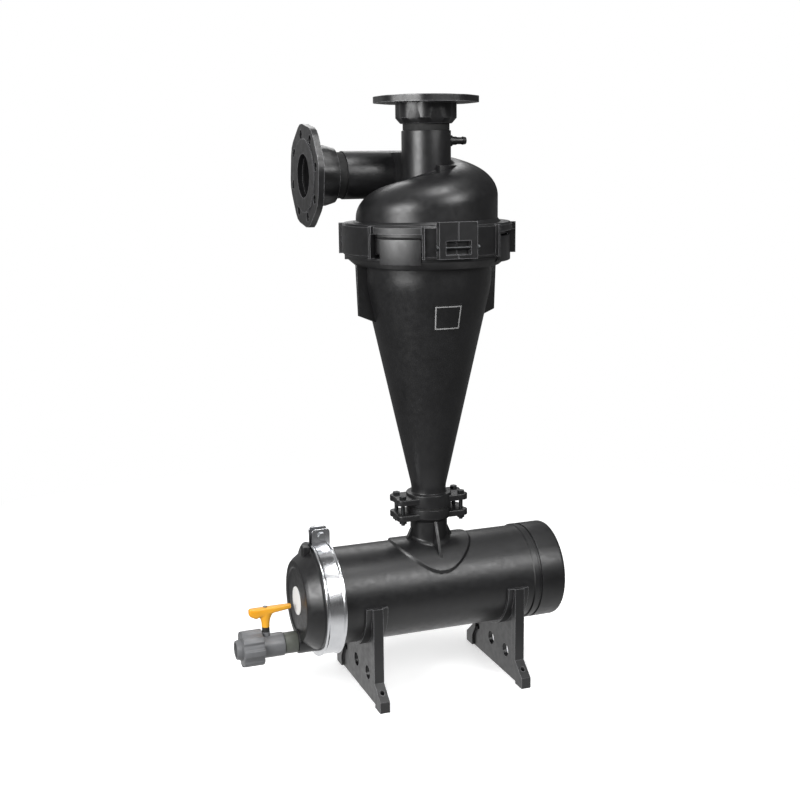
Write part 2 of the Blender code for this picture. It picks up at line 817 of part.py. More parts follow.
def make_band_clamp(tank):
    """Sheet band with rolled rims over the two flanges, open on top between two ears."""
    outside, inside = band_outline()
    mirror_outside = [(radius, -x) for radius, x in reversed(outside)]
    mirror_inside = [(radius, -x) for radius, x in reversed(inside)]
    section = outside + mirror_outside + mirror_inside + inside
    section = [(radius, TANK_JOINT_X + x) for radius, x in section]
    band = turned("band_clamp", section, LARGE_FACETS, "bright_steel", along_x)
    outer = outside[-1][0]
    slit = block(
        "slit",
        (TANK_JOINT_X - BAND_WIDTH, -BAND_SLIT_WIDTH / 2, TANK_BORE_RADIUS),
        (TANK_JOINT_X + BAND_WIDTH, BAND_SLIT_WIDTH / 2, outer + BAND_EAR_HEIGHT),
    )
    cut(band, slit)
    low_x = TANK_JOINT_X - BAND_EAR_WIDTH / 2
    high_x = TANK_JOINT_X + BAND_EAR_WIDTH / 2
    top = outer + BAND_EAR_HEIGHT
    foot = outer - BAND_SHEET / 2
    corner = BAND_EAR_ROUNDING
    outline = [(low_x, foot), (high_x, foot)]
    outline += arc((high_x - corner, top - corner), corner, 0, math.pi / 2, 3)
    outline += arc((low_x + corner, top - corner), corner, math.pi / 2, math.pi, 3)
    inner_y = BAND_SLIT_WIDTH / 2
    for side in (-1, 1):
        faces = sorted((side * inner_y, side * (inner_y + BAND_EAR_SHEET)))
        add(band, plate("ear", outline, faces[0], faces[1], 1))
    reach = inner_y + BAND_EAR_SHEET + CUT_OVERRUN
    hole = rod(
        "hole",
        BAND_BOLT_RADIUS + SEAT_GAP,
        -reach,
        reach,
        SMALL_FACETS,
        lie=along_y,
        centre=(TANK_JOINT_X, 0, outer + BAND_BOLT_HEIGHT),
    )
    cut(band, hole)
    carried(band, tank)
    return outer + BAND_BOLT_HEIGHT


def make_band_bolt(tank, bolt_height):
    """Bolt through the band's ears, its head to the front and a trunnion and nut behind."""
    ear_face = BAND_SLIT_WIDTH / 2 + BAND_EAR_SHEET + SEAT_GAP
    trunnion_end = ear_face + 2 * BAND_TRUNNION_RADIUS
    nut_start = trunnion_end + SEAT_GAP
    nut_end = nut_start + BAND_BOLT_HEAD_LENGTH
    place = (TANK_JOINT_X, 0, bolt_height)
    bolt = rod(
        "band_bolt",
        BAND_BOLT_RADIUS,
        -ear_face - BAND_BOLT_HEAD_LENGTH / 2,
        nut_end + BAND_BOLT_TAIL,
        SMALL_FACETS,
        "zinc_steel",
        along_y,
    )
    head = rod(
        "head",
        BAND_BOLT_HEAD_RADIUS,
        -ear_face - BAND_BOLT_HEAD_LENGTH,
        -ear_face,
        HEX_FACETS,
        lie=along_y,
    )
    add(bolt, head)
    carried(bolt, tank, place)
    half = BAND_TRUNNION_LENGTH / 2
    trunnion = rod(
        "band_trunnion",
        BAND_TRUNNION_RADIUS,
        -half,
        half,
        SMALL_FACETS,
        "zinc_steel",
        along_x,
        centre=(0, ear_face + BAND_TRUNNION_RADIUS, 0),
    )
    clearance = rod(
        "clearance",
        BAND_BOLT_RADIUS + SEAT_GAP,
        0,
        nut_end,
        SMALL_FACETS,
        lie=along_y,
    )
    cut(trunnion, clearance)
    carried(trunnion, tank, place)
    nut_outline = [
        (BAND_BOLT_RADIUS + SEAT_GAP, nut_start),
        (BAND_BOLT_HEAD_RADIUS, nut_start),
        (BAND_BOLT_HEAD_RADIUS, nut_end),
        (BAND_BOLT_RADIUS + SEAT_GAP, nut_end),
    ]
    nut = turned("band_nut", nut_outline, SMALL_FACETS, "zinc_steel", along_y)
    carried(nut, tank, place)


def saddle_side(side):
    """Outline of the foot and post on one side, seen along X, over the floor."""
    inner = SADDLE_POST_Y - SADDLE_POST_DEPTH
    points = [
        (SADDLE_FOOT_Y, 0),
        (SADDLE_FOOT_Y, SADDLE_FOOT_HEIGHT),
        (SADDLE_POST_Y, SADDLE_FLARE_HEIGHT),
        (SADDLE_POST_Y, TANK_AXIS_HEIGHT),
        (inner, TANK_AXIS_HEIGHT),
        (inner, SADDLE_FLARE_HEIGHT),
        (SADDLE_FOOT_Y - SADDLE_FOOT_DEPTH, SADDLE_FOOT_HEIGHT),
        (SADDLE_FOOT_Y - SADDLE_FOOT_DEPTH, 0),
    ]
    return [(side * y, z) for y, z in points]


def make_saddle(name, parent, x):
    """Flat web under the tank with a cradle strip, two posts, splayed feet and holes."""
    half_web = SADDLE_WEB / 2
    web_outline = [
        (-SADDLE_FOOT_Y, 0),
        (SADDLE_FOOT_Y, 0),
        (SADDLE_FOOT_Y, SADDLE_FOOT_HEIGHT),
        (SADDLE_POST_Y, SADDLE_FLARE_HEIGHT),
        (SADDLE_POST_Y, TANK_AXIS_HEIGHT),
        (-SADDLE_POST_Y, TANK_AXIS_HEIGHT),
        (-SADDLE_POST_Y, SADDLE_FLARE_HEIGHT),
        (-SADDLE_FOOT_Y, SADDLE_FOOT_HEIGHT),
    ]
    saddle = plate(name, web_outline, -half_web, half_web, 0, "black_nylon")
    half_post = SADDLE_POST_WIDTH / 2
    for side in (-1, 1):
        add(saddle, plate("post", saddle_side(side), -half_post, half_post, 0))
    outer = TANK_RADIUS + SEAT_GAP + SADDLE_CRADLE_THICKNESS
    half_cradle = SADDLE_CRADLE_WIDTH / 2
    cradle = rod(
        "cradle",
        outer,
        -half_cradle,
        half_cradle,
        LARGE_FACETS,
        lie=along_x,
        centre=(0, 0, TANK_AXIS_HEIGHT),
    )
    above = block(
        "above",
        (-SADDLE_CRADLE_WIDTH, -SADDLE_FOOT_Y, TANK_AXIS_HEIGHT),
        (SADDLE_CRADLE_WIDTH, SADDLE_FOOT_Y, 2 * TANK_AXIS_HEIGHT),
    )
    cut(cradle, above)
    add(saddle, cradle)
    seat = rod(
        "seat",
        TANK_RADIUS + SEAT_GAP,
        -SADDLE_CRADLE_WIDTH,
        SADDLE_CRADLE_WIDTH,
        LARGE_FACETS,
        lie=along_x,
        centre=(0, 0, TANK_AXIS_HEIGHT),
    )
    cut(saddle, seat)
    for y in SADDLE_HOLE_Y:
        cut(saddle, saddle_hole(SADDLE_HOLE_RADIUS, y, PIPE_FACETS))
    cut(saddle, saddle_hole(SADDLE_SMALL_HOLE_RADIUS, SADDLE_SMALL_HOLE_Y, SMALL_FACETS))
    for side in (-1, 1):
        bolt_hole = rod(
            "hole",
            SADDLE_BOLT_HOLE_RADIUS,
            -CUT_OVERRUN,
            SADDLE_FLARE_HEIGHT,
            SMALL_FACETS,
            centre=(0, side * SADDLE_BOLT_Y, 0),
        )
        cut(saddle, bolt_hole)
    carried(saddle, parent, (x, 0, -TANK_AXIS_HEIGHT))


def saddle_hole(radius, y, facets):
    """Cutter for a round hole through the web."""
    return rod(
        "hole",
        radius,
        -SADDLE_WEB,
        SADDLE_WEB,
        facets,
        lie=along_x,
        centre=(0, y, SADDLE_HOLE_HEIGHT),
    )


def make_coupling(cyclone):
    """Gasket, bolts and nuts of the coupling."""
    gasket_low = NECK_TOP_HEIGHT + SEAT_GAP
    gasket_high = gasket_low + COUPLING_GASKET_THICKNESS
    outline = [
        (COUPLING_GASKET_INNER, gasket_low),
        (COUPLING_GASKET_OUTER, gasket_low),
        (COUPLING_GASKET_OUTER, gasket_high),
        (COUPLING_GASKET_INNER, gasket_high),
    ]
    gasket = turned("underflow_gasket", outline, PIPE_FACETS, "black_rubber")
    carried(gasket, cyclone)
    ears_low = NECK_TOP_HEIGHT - COUPLING_EAR_OFFSET - COUPLING_EAR_THICKNESS
    ears_high = cone_bottom() + COUPLING_EAR_OFFSET + COUPLING_EAR_THICKNESS
    head_low = ears_high + SEAT_GAP
    nut_high = ears_low - SEAT_GAP
    nut_low = nut_high - COUPLING_HEAD_LENGTH
    places = [
        (side * COUPLING_BOLT_X, depth * COUPLING_BOLT_Y)
        for side in (-1, 1)
        for depth in (-1, 1)
    ]
    for number, (x, y) in enumerate(places, 1):
        bolt = rod(
            f"coupling_bolt_{number}",
            COUPLING_BOLT_RADIUS,
            nut_low - COUPLING_BOLT_TAIL,
            head_low + COUPLING_HEAD_LENGTH / 2,
            SMALL_FACETS,
            "zinc_steel",
        )
        head = rod(
            "head",
            COUPLING_HEAD_RADIUS,
            head_low,
            head_low + COUPLING_HEAD_LENGTH,
            HEX_FACETS,
        )
        add(bolt, head)
        carried(bolt, cyclone, (x, y, 0))
        hole = COUPLING_BOLT_RADIUS + SEAT_GAP
        nut_outline = [
            (hole, nut_low),
            (COUPLING_HEAD_RADIUS, nut_low),
            (COUPLING_HEAD_RADIUS, nut_high),
            (hole, nut_high),
        ]
        nut = turned(
            f"coupling_nut_{number}", nut_outline, SMALL_FACETS, "zinc_steel"
        )
        carried(nut, cyclone, (x, y, 0))


def cone_bottom():
    """Height of the cone's lower face, on its gasket."""
    return NECK_TOP_HEIGHT + COUPLING_GASKET_THICKNESS + 2 * SEAT_GAP


def cone_rim():
    """Height of the cone's upper face, under the head's gasket."""
    return HEAD_JOINT_HEIGHT - HEAD_GASKET_THICKNESS / 2 - SEAT_GAP


def head_rim():
    """Height of the head's lower face, over its gasket."""
    return HEAD_JOINT_HEIGHT + HEAD_GASKET_THICKNESS / 2 + SEAT_GAP


def clamp_low():
    return HEAD_JOINT_HEIGHT - CLAMP_DROP


def clamp_high():
    return HEAD_JOINT_HEIGHT + CLAMP_RISE


def sector(inner, outer, low, high, half_angle, direction, steps=4):
    """A piece of a ring, centred on an angle about Z."""
    outline = arc((0, 0), outer, direction - half_angle, direction + half_angle, steps)
    back = arc((0, 0), inner, direction + half_angle, direction - half_angle, steps)
    return plate("sector", outline + back, low, high, 2)


def make_cone_body(cyclone):
    """Cone with barrel, collar, two side fins, four tabs and the coupling's upper ears."""
    bottom = cone_bottom()
    ring_top = bottom + CONE_RING_LENGTH
    shelf = clamp_low() - SEAT_GAP
    throat_top = clamp_low() + CLAMP_LIP + SEAT_GAP
    outer = [
        (COUPLING_RING_RADIUS, bottom),
        (COUPLING_RING_RADIUS, ring_top),
        (CONE_SPIGOT_RADIUS, ring_top),
        (CONE_SPIGOT_RADIUS, ring_top + CONE_SPIGOT_LENGTH),
        (BARREL_RADIUS, BARREL_BOTTOM_HEIGHT),
        (BARREL_RADIUS, COLLAR_BOTTOM_HEIGHT),
        (COLLAR_LIP_RADIUS, COLLAR_BOTTOM_HEIGHT),
        (COLLAR_RADIUS, COLLAR_BOTTOM_HEIGHT + COLLAR_CHAMFER_HEIGHT),
        (COLLAR_RADIUS, shelf),
        (RIM_THROAT_RADIUS, shelf),
        (RIM_THROAT_RADIUS, throat_top),
        (RIM_RADIUS, throat_top),
        (RIM_RADIUS, cone_rim()),
    ]
    cone = turned("cone_body", outer, LARGE_FACETS, "black_nylon", ring_shaped=False)
    half_fin = FIN_THICKNESS / 2
    inside = BARREL_RADIUS - 2 * FIN_THICKNESS
    for side in (-1, 1):
        fin_outline = [
            (side * inside, COLLAR_BOTTOM_HEIGHT + half_fin),
            (side * FIN_TOP_RADIUS, COLLAR_BOTTOM_HEIGHT + half_fin),
            (side * FIN_BOTTOM_RADIUS, FIN_BOTTOM_HEIGHT),
            (side * inside, FIN_TOE_HEIGHT),
        ]
        add(cone, plate("fin", fin_outline, -half_fin, half_fin, 1))
    for window in window_directions():
        tab = sector(
            RIM_THROAT_RADIUS - CONE_WALL,
            TAB_RADIUS,
            TAB_BOTTOM_HEIGHT,
            cone_rim(),
            TAB_HALF_ANGLE,
            window + TAB_TURN,
        )
        add(cone, tab)
    add(cone, coupling_ears(bottom + COUPLING_EAR_OFFSET))
    barrel_bore = BARREL_RADIUS - CONE_WALL
    throat_bore = HEAD_WALL_RADIUS - HEAD_WALL
    hollow = turned(
        "hollow",
        [
            (CONE_APEX_RADIUS, bottom - CUT_OVERRUN),
            (CONE_APEX_RADIUS, ring_top),
            (CONE_SPIGOT_RADIUS - CONE_WALL, ring_top + CONE_SPIGOT_LENGTH),
            (barrel_bore, BARREL_BOTTOM_HEIGHT),
            (barrel_bore, COLLAR_BOTTOM_HEIGHT),
            (throat_bore, COLLAR_BOTTOM_HEIGHT + 2 * COLLAR_CHAMFER_HEIGHT),
            (throat_bore, cone_rim() + CUT_OVERRUN),
        ],
        LARGE_FACETS,
        ring_shaped=False,
    )
    cut(cone, hollow)
    carried(cone, cyclone)


def window_directions():
    """Angles of the clamp ring's four windows about the cyclone's axis."""
    return [
        CLAMP_SPLIT_ANGLE + half + window
        for half in (0, math.pi)
        for window in CLAMP_WINDOW_ANGLES
    ]


def make_head_gasket(cyclone):
    low = HEAD_JOINT_HEIGHT - HEAD_GASKET_THICKNESS / 2
    high = HEAD_JOINT_HEIGHT + HEAD_GASKET_THICKNESS / 2
    outline = [
        (HEAD_GASKET_INNER, low),
        (HEAD_GASKET_OUTER, low),
        (HEAD_GASKET_OUTER, high),
        (HEAD_GASKET_INNER, high),
    ]
    carried(turned("head_gasket", outline, LARGE_FACETS, "black_rubber"), cyclone)


def clamp_half(name):
    """Half of the clamp ring from angle 0 to half a turn, with a bolt block at each end."""
    low, high = clamp_low(), clamp_high()
    lip = RIM_THROAT_RADIUS + CLAMP_CHANNEL_CLEARANCE
    channel = RIM_RADIUS + CLAMP_CHANNEL_CLEARANCE
    section = [
        (lip, high),
        (CLAMP_RADIUS - CLAMP_CHAMFER, high),
        (CLAMP_RADIUS, high - CLAMP_CHAMFER),
        (CLAMP_RADIUS, low + CLAMP_CHAMFER),
        (CLAMP_RADIUS - CLAMP_CHAMFER, low),
        (lip, low),
        (lip, low + CLAMP_LIP),
        (channel, low + CLAMP_LIP),
        (channel, high - CLAMP_LIP),
        (lip, high - CLAMP_LIP),
    ]
    half = turned(name, section, LARGE_FACETS, "black_nylon")
    for direction in (1, -1):
        add(half, clamp_block(direction, channel))
    for direction in (1, -1):
        cut(half, clamp_pocket(direction, channel))
        cut(half, clamp_bolt_hole(direction))
    other_side = block(
        "other_side",
        (-2 * CLAMP_RADIUS, -2 * CLAMP_RADIUS, low - CUT_OVERRUN),
        (2 * CLAMP_RADIUS, CLAMP_SPLIT_GAP / 2, high + CLAMP_BLOCK_STAND + CUT_OVERRUN),
    )
    cut(half, other_side)
    for window in CLAMP_WINDOW_ANGLES:
        add_window(half, window, lip)
    return half


def clamp_block(direction, channel):
    """The bolt block at one end of a half. Direction +1 is the end at +X, -1 that at -X."""
    floor = channel + CLAMP_POCKET_FLOOR / 2
    low, high = clamp_low() + CLAMP_BLOCK_INSET, clamp_high() + CLAMP_BLOCK_STAND
    piece = block("block", (floor, -CUT_OVERRUN, low), (CLAMP_BLOCK_RADIUS, CLAMP_BLOCK_REACH, high))
    if direction < 0:
        mirror_x(piece)
    return piece


def clamp_pocket(direction, channel):
    """Cutter for the pocket that shows the bolt, open to the front and to the split."""
    top = clamp_high() - CLAMP_POCKET_DROP
    pocket = block(
        "pocket",
        (channel + CLAMP_POCKET_FLOOR, -2 * CUT_OVERRUN, top - CLAMP_POCKET_HEIGHT),
        (CLAMP_BLOCK_RADIUS + CUT_OVERRUN, CLAMP_BLOCK_REACH - CLAMP_BLOCK_WALL, top),
    )
    if direction < 0:
        mirror_x(pocket)
    return pocket


def clamp_bolt_hole(direction):
    """Cutter for the bolt's hole through the block's outer wall."""
    place = clamp_bolt_place()
    hole = rod(
        "hole",
        CLAMP_BOLT_RADIUS + SEAT_GAP,
        CLAMP_BLOCK_REACH - CLAMP_BLOCK_WALL - CUT_OVERRUN,
        CLAMP_BLOCK_REACH + CUT_OVERRUN,
        SMALL_FACETS,
        lie=along_y,
        centre=place,
    )
    if direction < 0:
        mirror_x(hole)
    return hole


def clamp_bolt_place():
    """Where a clamp bolt's axis crosses the split, with the split at +X."""
    height = clamp_high() - CLAMP_POCKET_DROP - CLAMP_POCKET_HEIGHT / 2
    return (CLAMP_BLOCK_RADIUS - CLAMP_BOLT_DEPTH, 0, height)


def mirror_x(piece):
    """Mirrors a piece's points across the plane X = 0 and turns its faces back."""
    mesh = piece.data
    points = np.empty(len(mesh.vertices) * 3)
    mesh.vertices.foreach_get("co", points)
    points = points.reshape(-1, 3) * (-1, 1, 1)
    mesh.vertices.foreach_set("co", points.ravel())
    mesh.flip_normals()
    mesh.update()


def add_window(half, direction, lip):
    """Puts a rib on each side of a window and cuts the window, which is open at the bottom."""
    low, high = clamp_low(), clamp_high()
    half_rib = CLAMP_RIB_WIDTH / (2 * CLAMP_RADIUS)
    channel = RIM_RADIUS + CLAMP_CHANNEL_CLEARANCE
    for side in (-1, 1):
        rib = sector(
            (CLAMP_RADIUS + channel) / 2,
            CLAMP_RIB_RADIUS,
            low + CLAMP_BLOCK_INSET,
            high - CLAMP_RIB_TOP_DROP,
            half_rib,
            direction + side * (CLAMP_WINDOW_HALF_ANGLE + half_rib / 2),
            1,
        )
        add(half, rib)
    opening = sector(
        lip - CUT_OVERRUN,
        CLAMP_RIB_RADIUS + CUT_OVERRUN,
        low - CUT_OVERRUN,
        HEAD_JOINT_HEIGHT + CLAMP_WINDOW_TOP_RISE,
        CLAMP_WINDOW_HALF_ANGLE,
        direction,
        6,
    )
    cut(half, opening)


def make_clamp(cyclone):
    """Two like halves of the clamp ring and the two bolts with nuts that close it."""
    place = clamp_bolt_place()
    for name, angle in (("right", CLAMP_SPLIT_ANGLE), ("left", CLAMP_SPLIT_ANGLE + math.pi)):
        carried(clamp_half(f"clamp_half_{name}"), cyclone, turned_by=angle)
    face = CLAMP_BLOCK_REACH + SEAT_GAP
    hole = CLAMP_BOLT_RADIUS + SEAT_GAP
    nut_outline = [
        (hole, face),
        (CLAMP_BOLT_HEAD_RADIUS, face),
        (CLAMP_BOLT_HEAD_RADIUS, face + CLAMP_BOLT_HEAD_LENGTH),
        (hole, face + CLAMP_BOLT_HEAD_LENGTH),
    ]
    for name, angle in (("front", CLAMP_SPLIT_ANGLE), ("back", CLAMP_SPLIT_ANGLE + math.pi)):
        bolt = rod(
            f"clamp_bolt_{name}",
            CLAMP_BOLT_RADIUS,
            -face - CLAMP_BOLT_HEAD_LENGTH / 2,
            face + CLAMP_BOLT_HEAD_LENGTH,
            SMALL_FACETS,
            "zinc_steel",
            along_y,
        )
        head = rod(
            "head",
            CLAMP_BOLT_HEAD_RADIUS,
            -face - CLAMP_BOLT_HEAD_LENGTH,
            -face,
            HEX_FACETS,
            lie=along_y,
        )
        add(bolt, head)
        shift(bolt, place)
        carried(bolt, cyclone, turned_by=angle)
        nut = turned(f"clamp_nut_{name}", nut_outline, SMALL_FACETS, "zinc_steel", along_y)
        shift(nut, place)
        carried(nut, cyclone, turned_by=angle)


def roof_profile(angles):
    """Roof height and wall radius at each angle about the axis, measured from +X towards +Y.

    The flow enters at +Y, a quarter turn, and runs towards -Y past +X. The roof falls evenly
    with it for all but the last stretch, where it climbs back as a steep step. The wall is
    a spiral that starts at the inlet's outer side and reaches its plain radius at the end of
    the volute angle.
    """
    inlet = math.pi / 2
    run = (inlet - angles) % (2 * math.pi)
    fall_end = 2 * math.pi - STEP_ANGLE
    falling = run / (2 * math.pi) * ROOF_FALL
    climb = np.clip((run - fall_end) / STEP_ANGLE, 0, 1)
    last = fall_end / (2 * math.pi) * ROOF_FALL
    fall = np.where(run < fall_end, falling, last * (1 - climb))
    bulge = INLET_Y + INLET_RADIUS + INLET_COVER - HEAD_WALL_RADIUS
    spread = np.clip(1 - run / VOLUTE_ANGLE, 0, 1) ** 2
    return ROOF_HEIGHT - fall, HEAD_WALL_RADIUS + bulge * spread, spread


def chamber(name, inset, foot, material=None):
    """The head's outer form, or with an inset its hollow, from the roof down to its foot.

    Each ring is one station of the profile: a fillet and a flat round the neck, a quarter of
    an ellipse over the shoulder, the wall, and the foot's own stations.
    """
    angles = np.arange(MOULDED_FACETS) * (2 * math.pi / MOULDED_FACETS)
    roof, wall, spread = roof_profile(angles)
    roof = roof - inset
    wall = wall - inset
    flat = ROOF_FLAT_RADIUS + ROOF_INLET_FLAT * spread - inset
    base = foot[0][1]
    depth = SHOULDER_DEPTH - SHOULDER_INLET_RISE * spread
    depth = np.minimum(depth, roof - base - HEAD_FOOT_HEIGHT)
    rings = [circle(ROOF_HUB_RADIUS, roof.mean(), MOULDED_FACETS)]
    if inset == 0:
        for share in FILLET_ANGLES_SHARE:
            rise = NECK_FILLET * (1 - math.sin(share * math.pi / 2))
            out = NECK_FILLET * (1 - math.cos(share * math.pi / 2))
            start = OUTLET_RADIUS - NECK_FILLET_INSET
            rings.append(circle(start + out, roof + rise, MOULDED_FACETS))
    rings.append(circle(flat, roof, MOULDED_FACETS))
    for share in SHOULDER_ANGLES_SHARE:
        swing = share * math.pi / 2
        radius = flat + (wall - flat) * math.sin(swing)
        rings.append(circle(radius, roof - depth * (1 - math.cos(swing)), MOULDED_FACETS))
    middle = base + (roof - depth - base) * FOOT_WALL_SHARE
    radius = (wall + HEAD_WALL_RADIUS - inset) / 2
    rings.append(circle(radius, middle, MOULDED_FACETS))
    for station_radius, height in foot:
        rings.append(circle(station_radius, height, MOULDED_FACETS))
    return loft(name, rings, material)


def make_head(cyclone):
    """Hollow head with a helical roof, its inlet pipe, outlet neck, web and tap boss."""
    throat_low = clamp_high() - CLAMP_LIP - SEAT_GAP
    throat_high = clamp_high() + SEAT_GAP
    foot = [
        (RIM_THROAT_RADIUS - HEAD_FOOT_HEIGHT, throat_high + HEAD_FOOT_HEIGHT),
        (RIM_THROAT_RADIUS, throat_high),
        (RIM_THROAT_RADIUS, throat_low),
        (RIM_RADIUS, throat_low),
        (RIM_RADIUS, head_rim()),
    ]
    head = chamber("head_casting", 0, foot, "black_nylon")
    roof_middle = ROOF_HEIGHT - ROOF_FALL / 2
    outlet_end = outlet_pipe_end()
    outlet = turned(
        "outlet",
        [
            (OUTLET_RADIUS, roof_middle - SHOULDER_DEPTH),
            (OUTLET_RADIUS, outlet_face_height() - OUTLET_RELIEF_END),
            (RELIEF_RADIUS, outlet_face_height() - OUTLET_RELIEF_END),
            (RELIEF_RADIUS, outlet_face_height() - OUTLET_HUB_TIP),
            (THREAD_RADIUS, outlet_face_height() - OUTLET_HUB_TIP),
            (THREAD_RADIUS, outlet_end),
        ],
        PIPE_FACETS,
        ring_shaped=False,
    )
    add(head, outlet)
    inlet_end = inlet_pipe_end()
    inlet = turned(
        "inlet",
        [
            (INLET_RADIUS, INLET_PIPE_END_X),
            (INLET_RADIUS, INLET_FACE_X + INLET_RELIEF_END),
            (RELIEF_RADIUS, INLET_FACE_X + INLET_RELIEF_END),
            (RELIEF_RADIUS, INLET_FACE_X + INLET_HUB_TIP),
            (THREAD_RADIUS, INLET_FACE_X + INLET_HUB_TIP),
            (THREAD_RADIUS, inlet_end),
        ],
        PIPE_FACETS,
        lie=along_x,
        ring_shaped=False,
    )
    shift(inlet, (0, INLET_Y, INLET_HEIGHT))
    add(head, inlet)
    web = block(
        "web",
        (PIPE_WEB_X - PIPE_WEB_THICKNESS / 2, 0, PIPE_WEB_BOTTOM_HEIGHT),
        (PIPE_WEB_X + PIPE_WEB_THICKNESS / 2, INLET_Y, PIPE_WEB_TOP_HEIGHT),
    )
    add(head, web)
    ledge_middle = (LEDGE_START_ANGLE + LEDGE_END_ANGLE) / 2
    ledge = sector(
        (INLET_BORE_RADIUS + OUTLET_RADIUS) / 2,
        LEDGE_RADIUS,
        ROOF_HEIGHT - ROOF_FALL,
        ROOF_HEIGHT - LEDGE_DROP,
        (LEDGE_END_ANGLE - LEDGE_START_ANGLE) / 2,
        ledge_middle,
        steps=6,
    )
    add(head, ledge)
    boss = rod(
        "boss",
        TAP_BOSS_RADIUS,
        INLET_BORE_RADIUS,
        TAP_BOSS_REACH,
        SMALL_FACETS,
        lie=along_x,
        centre=(0, 0, TAP_HEIGHT),
    )
    add(head, boss)
    bore = HEAD_WALL_RADIUS - HEAD_WALL
    hollow_foot = [(bore, throat_high), (bore, head_rim() - CUT_OVERRUN)]
    cut(head, chamber("hollow", HEAD_WALL, hollow_foot))
    outlet_bore = rod(
        "bore",
        INLET_BORE_RADIUS,
        roof_middle - SHOULDER_DEPTH - CUT_OVERRUN,
        outlet_end + CUT_OVERRUN,
        PIPE_FACETS,
    )
    cut(head, outlet_bore)
    inlet_bore = rod(
        "bore",
        INLET_BORE_RADIUS,
        inlet_end - CUT_OVERRUN,
        INLET_BORE_END_X,
        PIPE_FACETS,
        lie=along_x,
        centre=(0, INLET_Y, INLET_HEIGHT),
    )
    cut(head, inlet_bore)
    tap_hole = rod(
        "hole",
        TAP_SPIGOT_RADIUS + SEAT_GAP,
        INLET_BORE_RADIUS - FINDER_WALL,
        TAP_BOSS_REACH + CUT_OVERRUN,
        SMALL_FACETS,
        lie=along_x,
        centre=(0, 0, TAP_HEIGHT),
    )
    cut(head, tap_hole)
    weld(head)
    carried(head, cyclone)


def outlet_face_height():
    """Height of the outlet flange's face: its stand above the head's roof."""
    return ROOF_HEIGHT + OUTLET_STAND


def outlet_pipe_end():
    return outlet_face_height() - FLANGE_LIP - FLANGE_SEAL_THICKNESS - 2 * SEAT_GAP


def inlet_pipe_end():
    return INLET_FACE_X + FLANGE_LIP + FLANGE_SEAL_THICKNESS + 2 * SEAT_GAP


def flange_radius(angles):
    """Radius of an octagon with its corners cut round. The first corner is at angle 0."""
    side = 2 * math.pi / FLANGE_SIDES
    from_flat = (angles % side) - side / 2
    return np.minimum(FLANGE_CORNER_RADIUS, FLANGE_FLAT_RADIUS / np.cos(from_flat))


def hub_radius(angles):
    """Radius of a hub with a raised panel at each corner and a recess between."""
    side = 2 * math.pi / FLANGE_SIDES
    from_corner = np.abs((angles + side / 2) % side - side / 2)
    return np.where(from_corner < side / 2 * HUB_PANEL_SHARE, HUB_RADIUS, HUB_RADIUS - HUB_RECESS)


def make_flange(name, hub_tip, hub_tip_radius, lie, place, angle, parent):
    """Screwed flange: its face at height 0 and its hub running down from it."""
    angles = np.arange(MOULDED_FACETS) * (2 * math.pi / MOULDED_FACETS)
    rim = flange_radius(angles)
    hub = hub_radius(angles)
    thread = THREAD_RADIUS + THREAD_CLEARANCE
    stations = [
        (INLET_BORE_RADIUS, 0),
        (FLANGE_RAISED_RADIUS, 0),
        (FLANGE_RAISED_RADIUS, -FLANGE_RAISED_HEIGHT),
        (rim, -FLANGE_RAISED_HEIGHT),
        (rim, -FLANGE_THICKNESS),
        (hub, -FLANGE_THICKNESS),
        (hub, -HUB_END),
        (hub_tip_radius, -hub_tip),
        (thread, -hub_tip),
        (thread, -FLANGE_LIP),
        (INLET_BORE_RADIUS, -FLANGE_LIP),
    ]
    rings = [circle(radius, height, MOULDED_FACETS) for radius, height in stations]
    flange = loft(name, rings, "black_nylon", ring_shaped=True)
    for number in range(FLANGE_SIDES):
        direction = number * 2 * math.pi / FLANGE_SIDES
        hole = rod(
            "hole",
            FLANGE_BOLT_HOLE_RADIUS,
            -FLANGE_THICKNESS - CUT_OVERRUN,
            CUT_OVERRUN,
            SMALL_FACETS,
        )
        turn(hole, math.pi / SMALL_FACETS)
        shift(hole, (FLANGE_BOLT_CIRCLE_RADIUS, 0, 0))
        turn(hole, direction)
        cut(flange, hole)
    turn(flange, angle)
    lay_down(flange, lie)
    carried(flange, parent, place)
    seal_outer = THREAD_RADIUS
    seal_outline = [
        (INLET_BORE_RADIUS + SEAT_GAP, -FLANGE_LIP - SEAT_GAP),
        (seal_outer, -FLANGE_LIP - SEAT_GAP),
        (seal_outer, -FLANGE_LIP - SEAT_GAP - FLANGE_SEAL_THICKNESS),
        (INLET_BORE_RADIUS + SEAT_GAP, -FLANGE_LIP - SEAT_GAP - FLANGE_SEAL_THICKNESS),
    ]
    seal = turned(name.replace("flange", "seal"), seal_outline, PIPE_FACETS, "black_rubber")
    lay_down(seal, lie)
    carried(seal, parent, place)


def lay_down(piece, lie):
    """Points a piece made round Z the way that lie says, keeping its faces outwards."""
    if lie is None:
        return
    mesh = piece.data
    points = np.empty(len(mesh.vertices) * 3)
    mesh.vertices.foreach_get("co", points)
    points = lie(points.reshape(-1, 3))
    mesh.vertices.foreach_set("co", points.ravel())
    mesh.update()


def facing_left(points):
    """Turns points round Z so that their top faces -X and their +X side faces +Y."""
    return np.stack([-points[:, 2], points[:, 0], -points[:, 1]], axis=1)


def make_vortex_finder(cyclone):
    outer = INLET_BORE_RADIUS - SEAT_GAP
    inner = outer - FINDER_WALL
    outline = [
        (inner, FINDER_BOTTOM_HEIGHT),
        (outer, FINDER_BOTTOM_HEIGHT),
        (outer, FINDER_TOP_HEIGHT),
        (inner, FINDER_TOP_HEIGHT),
    ]
    finder = turned("vortex_finder", outline, PIPE_FACETS, "black_nylon")
    carried(finder, cyclone)


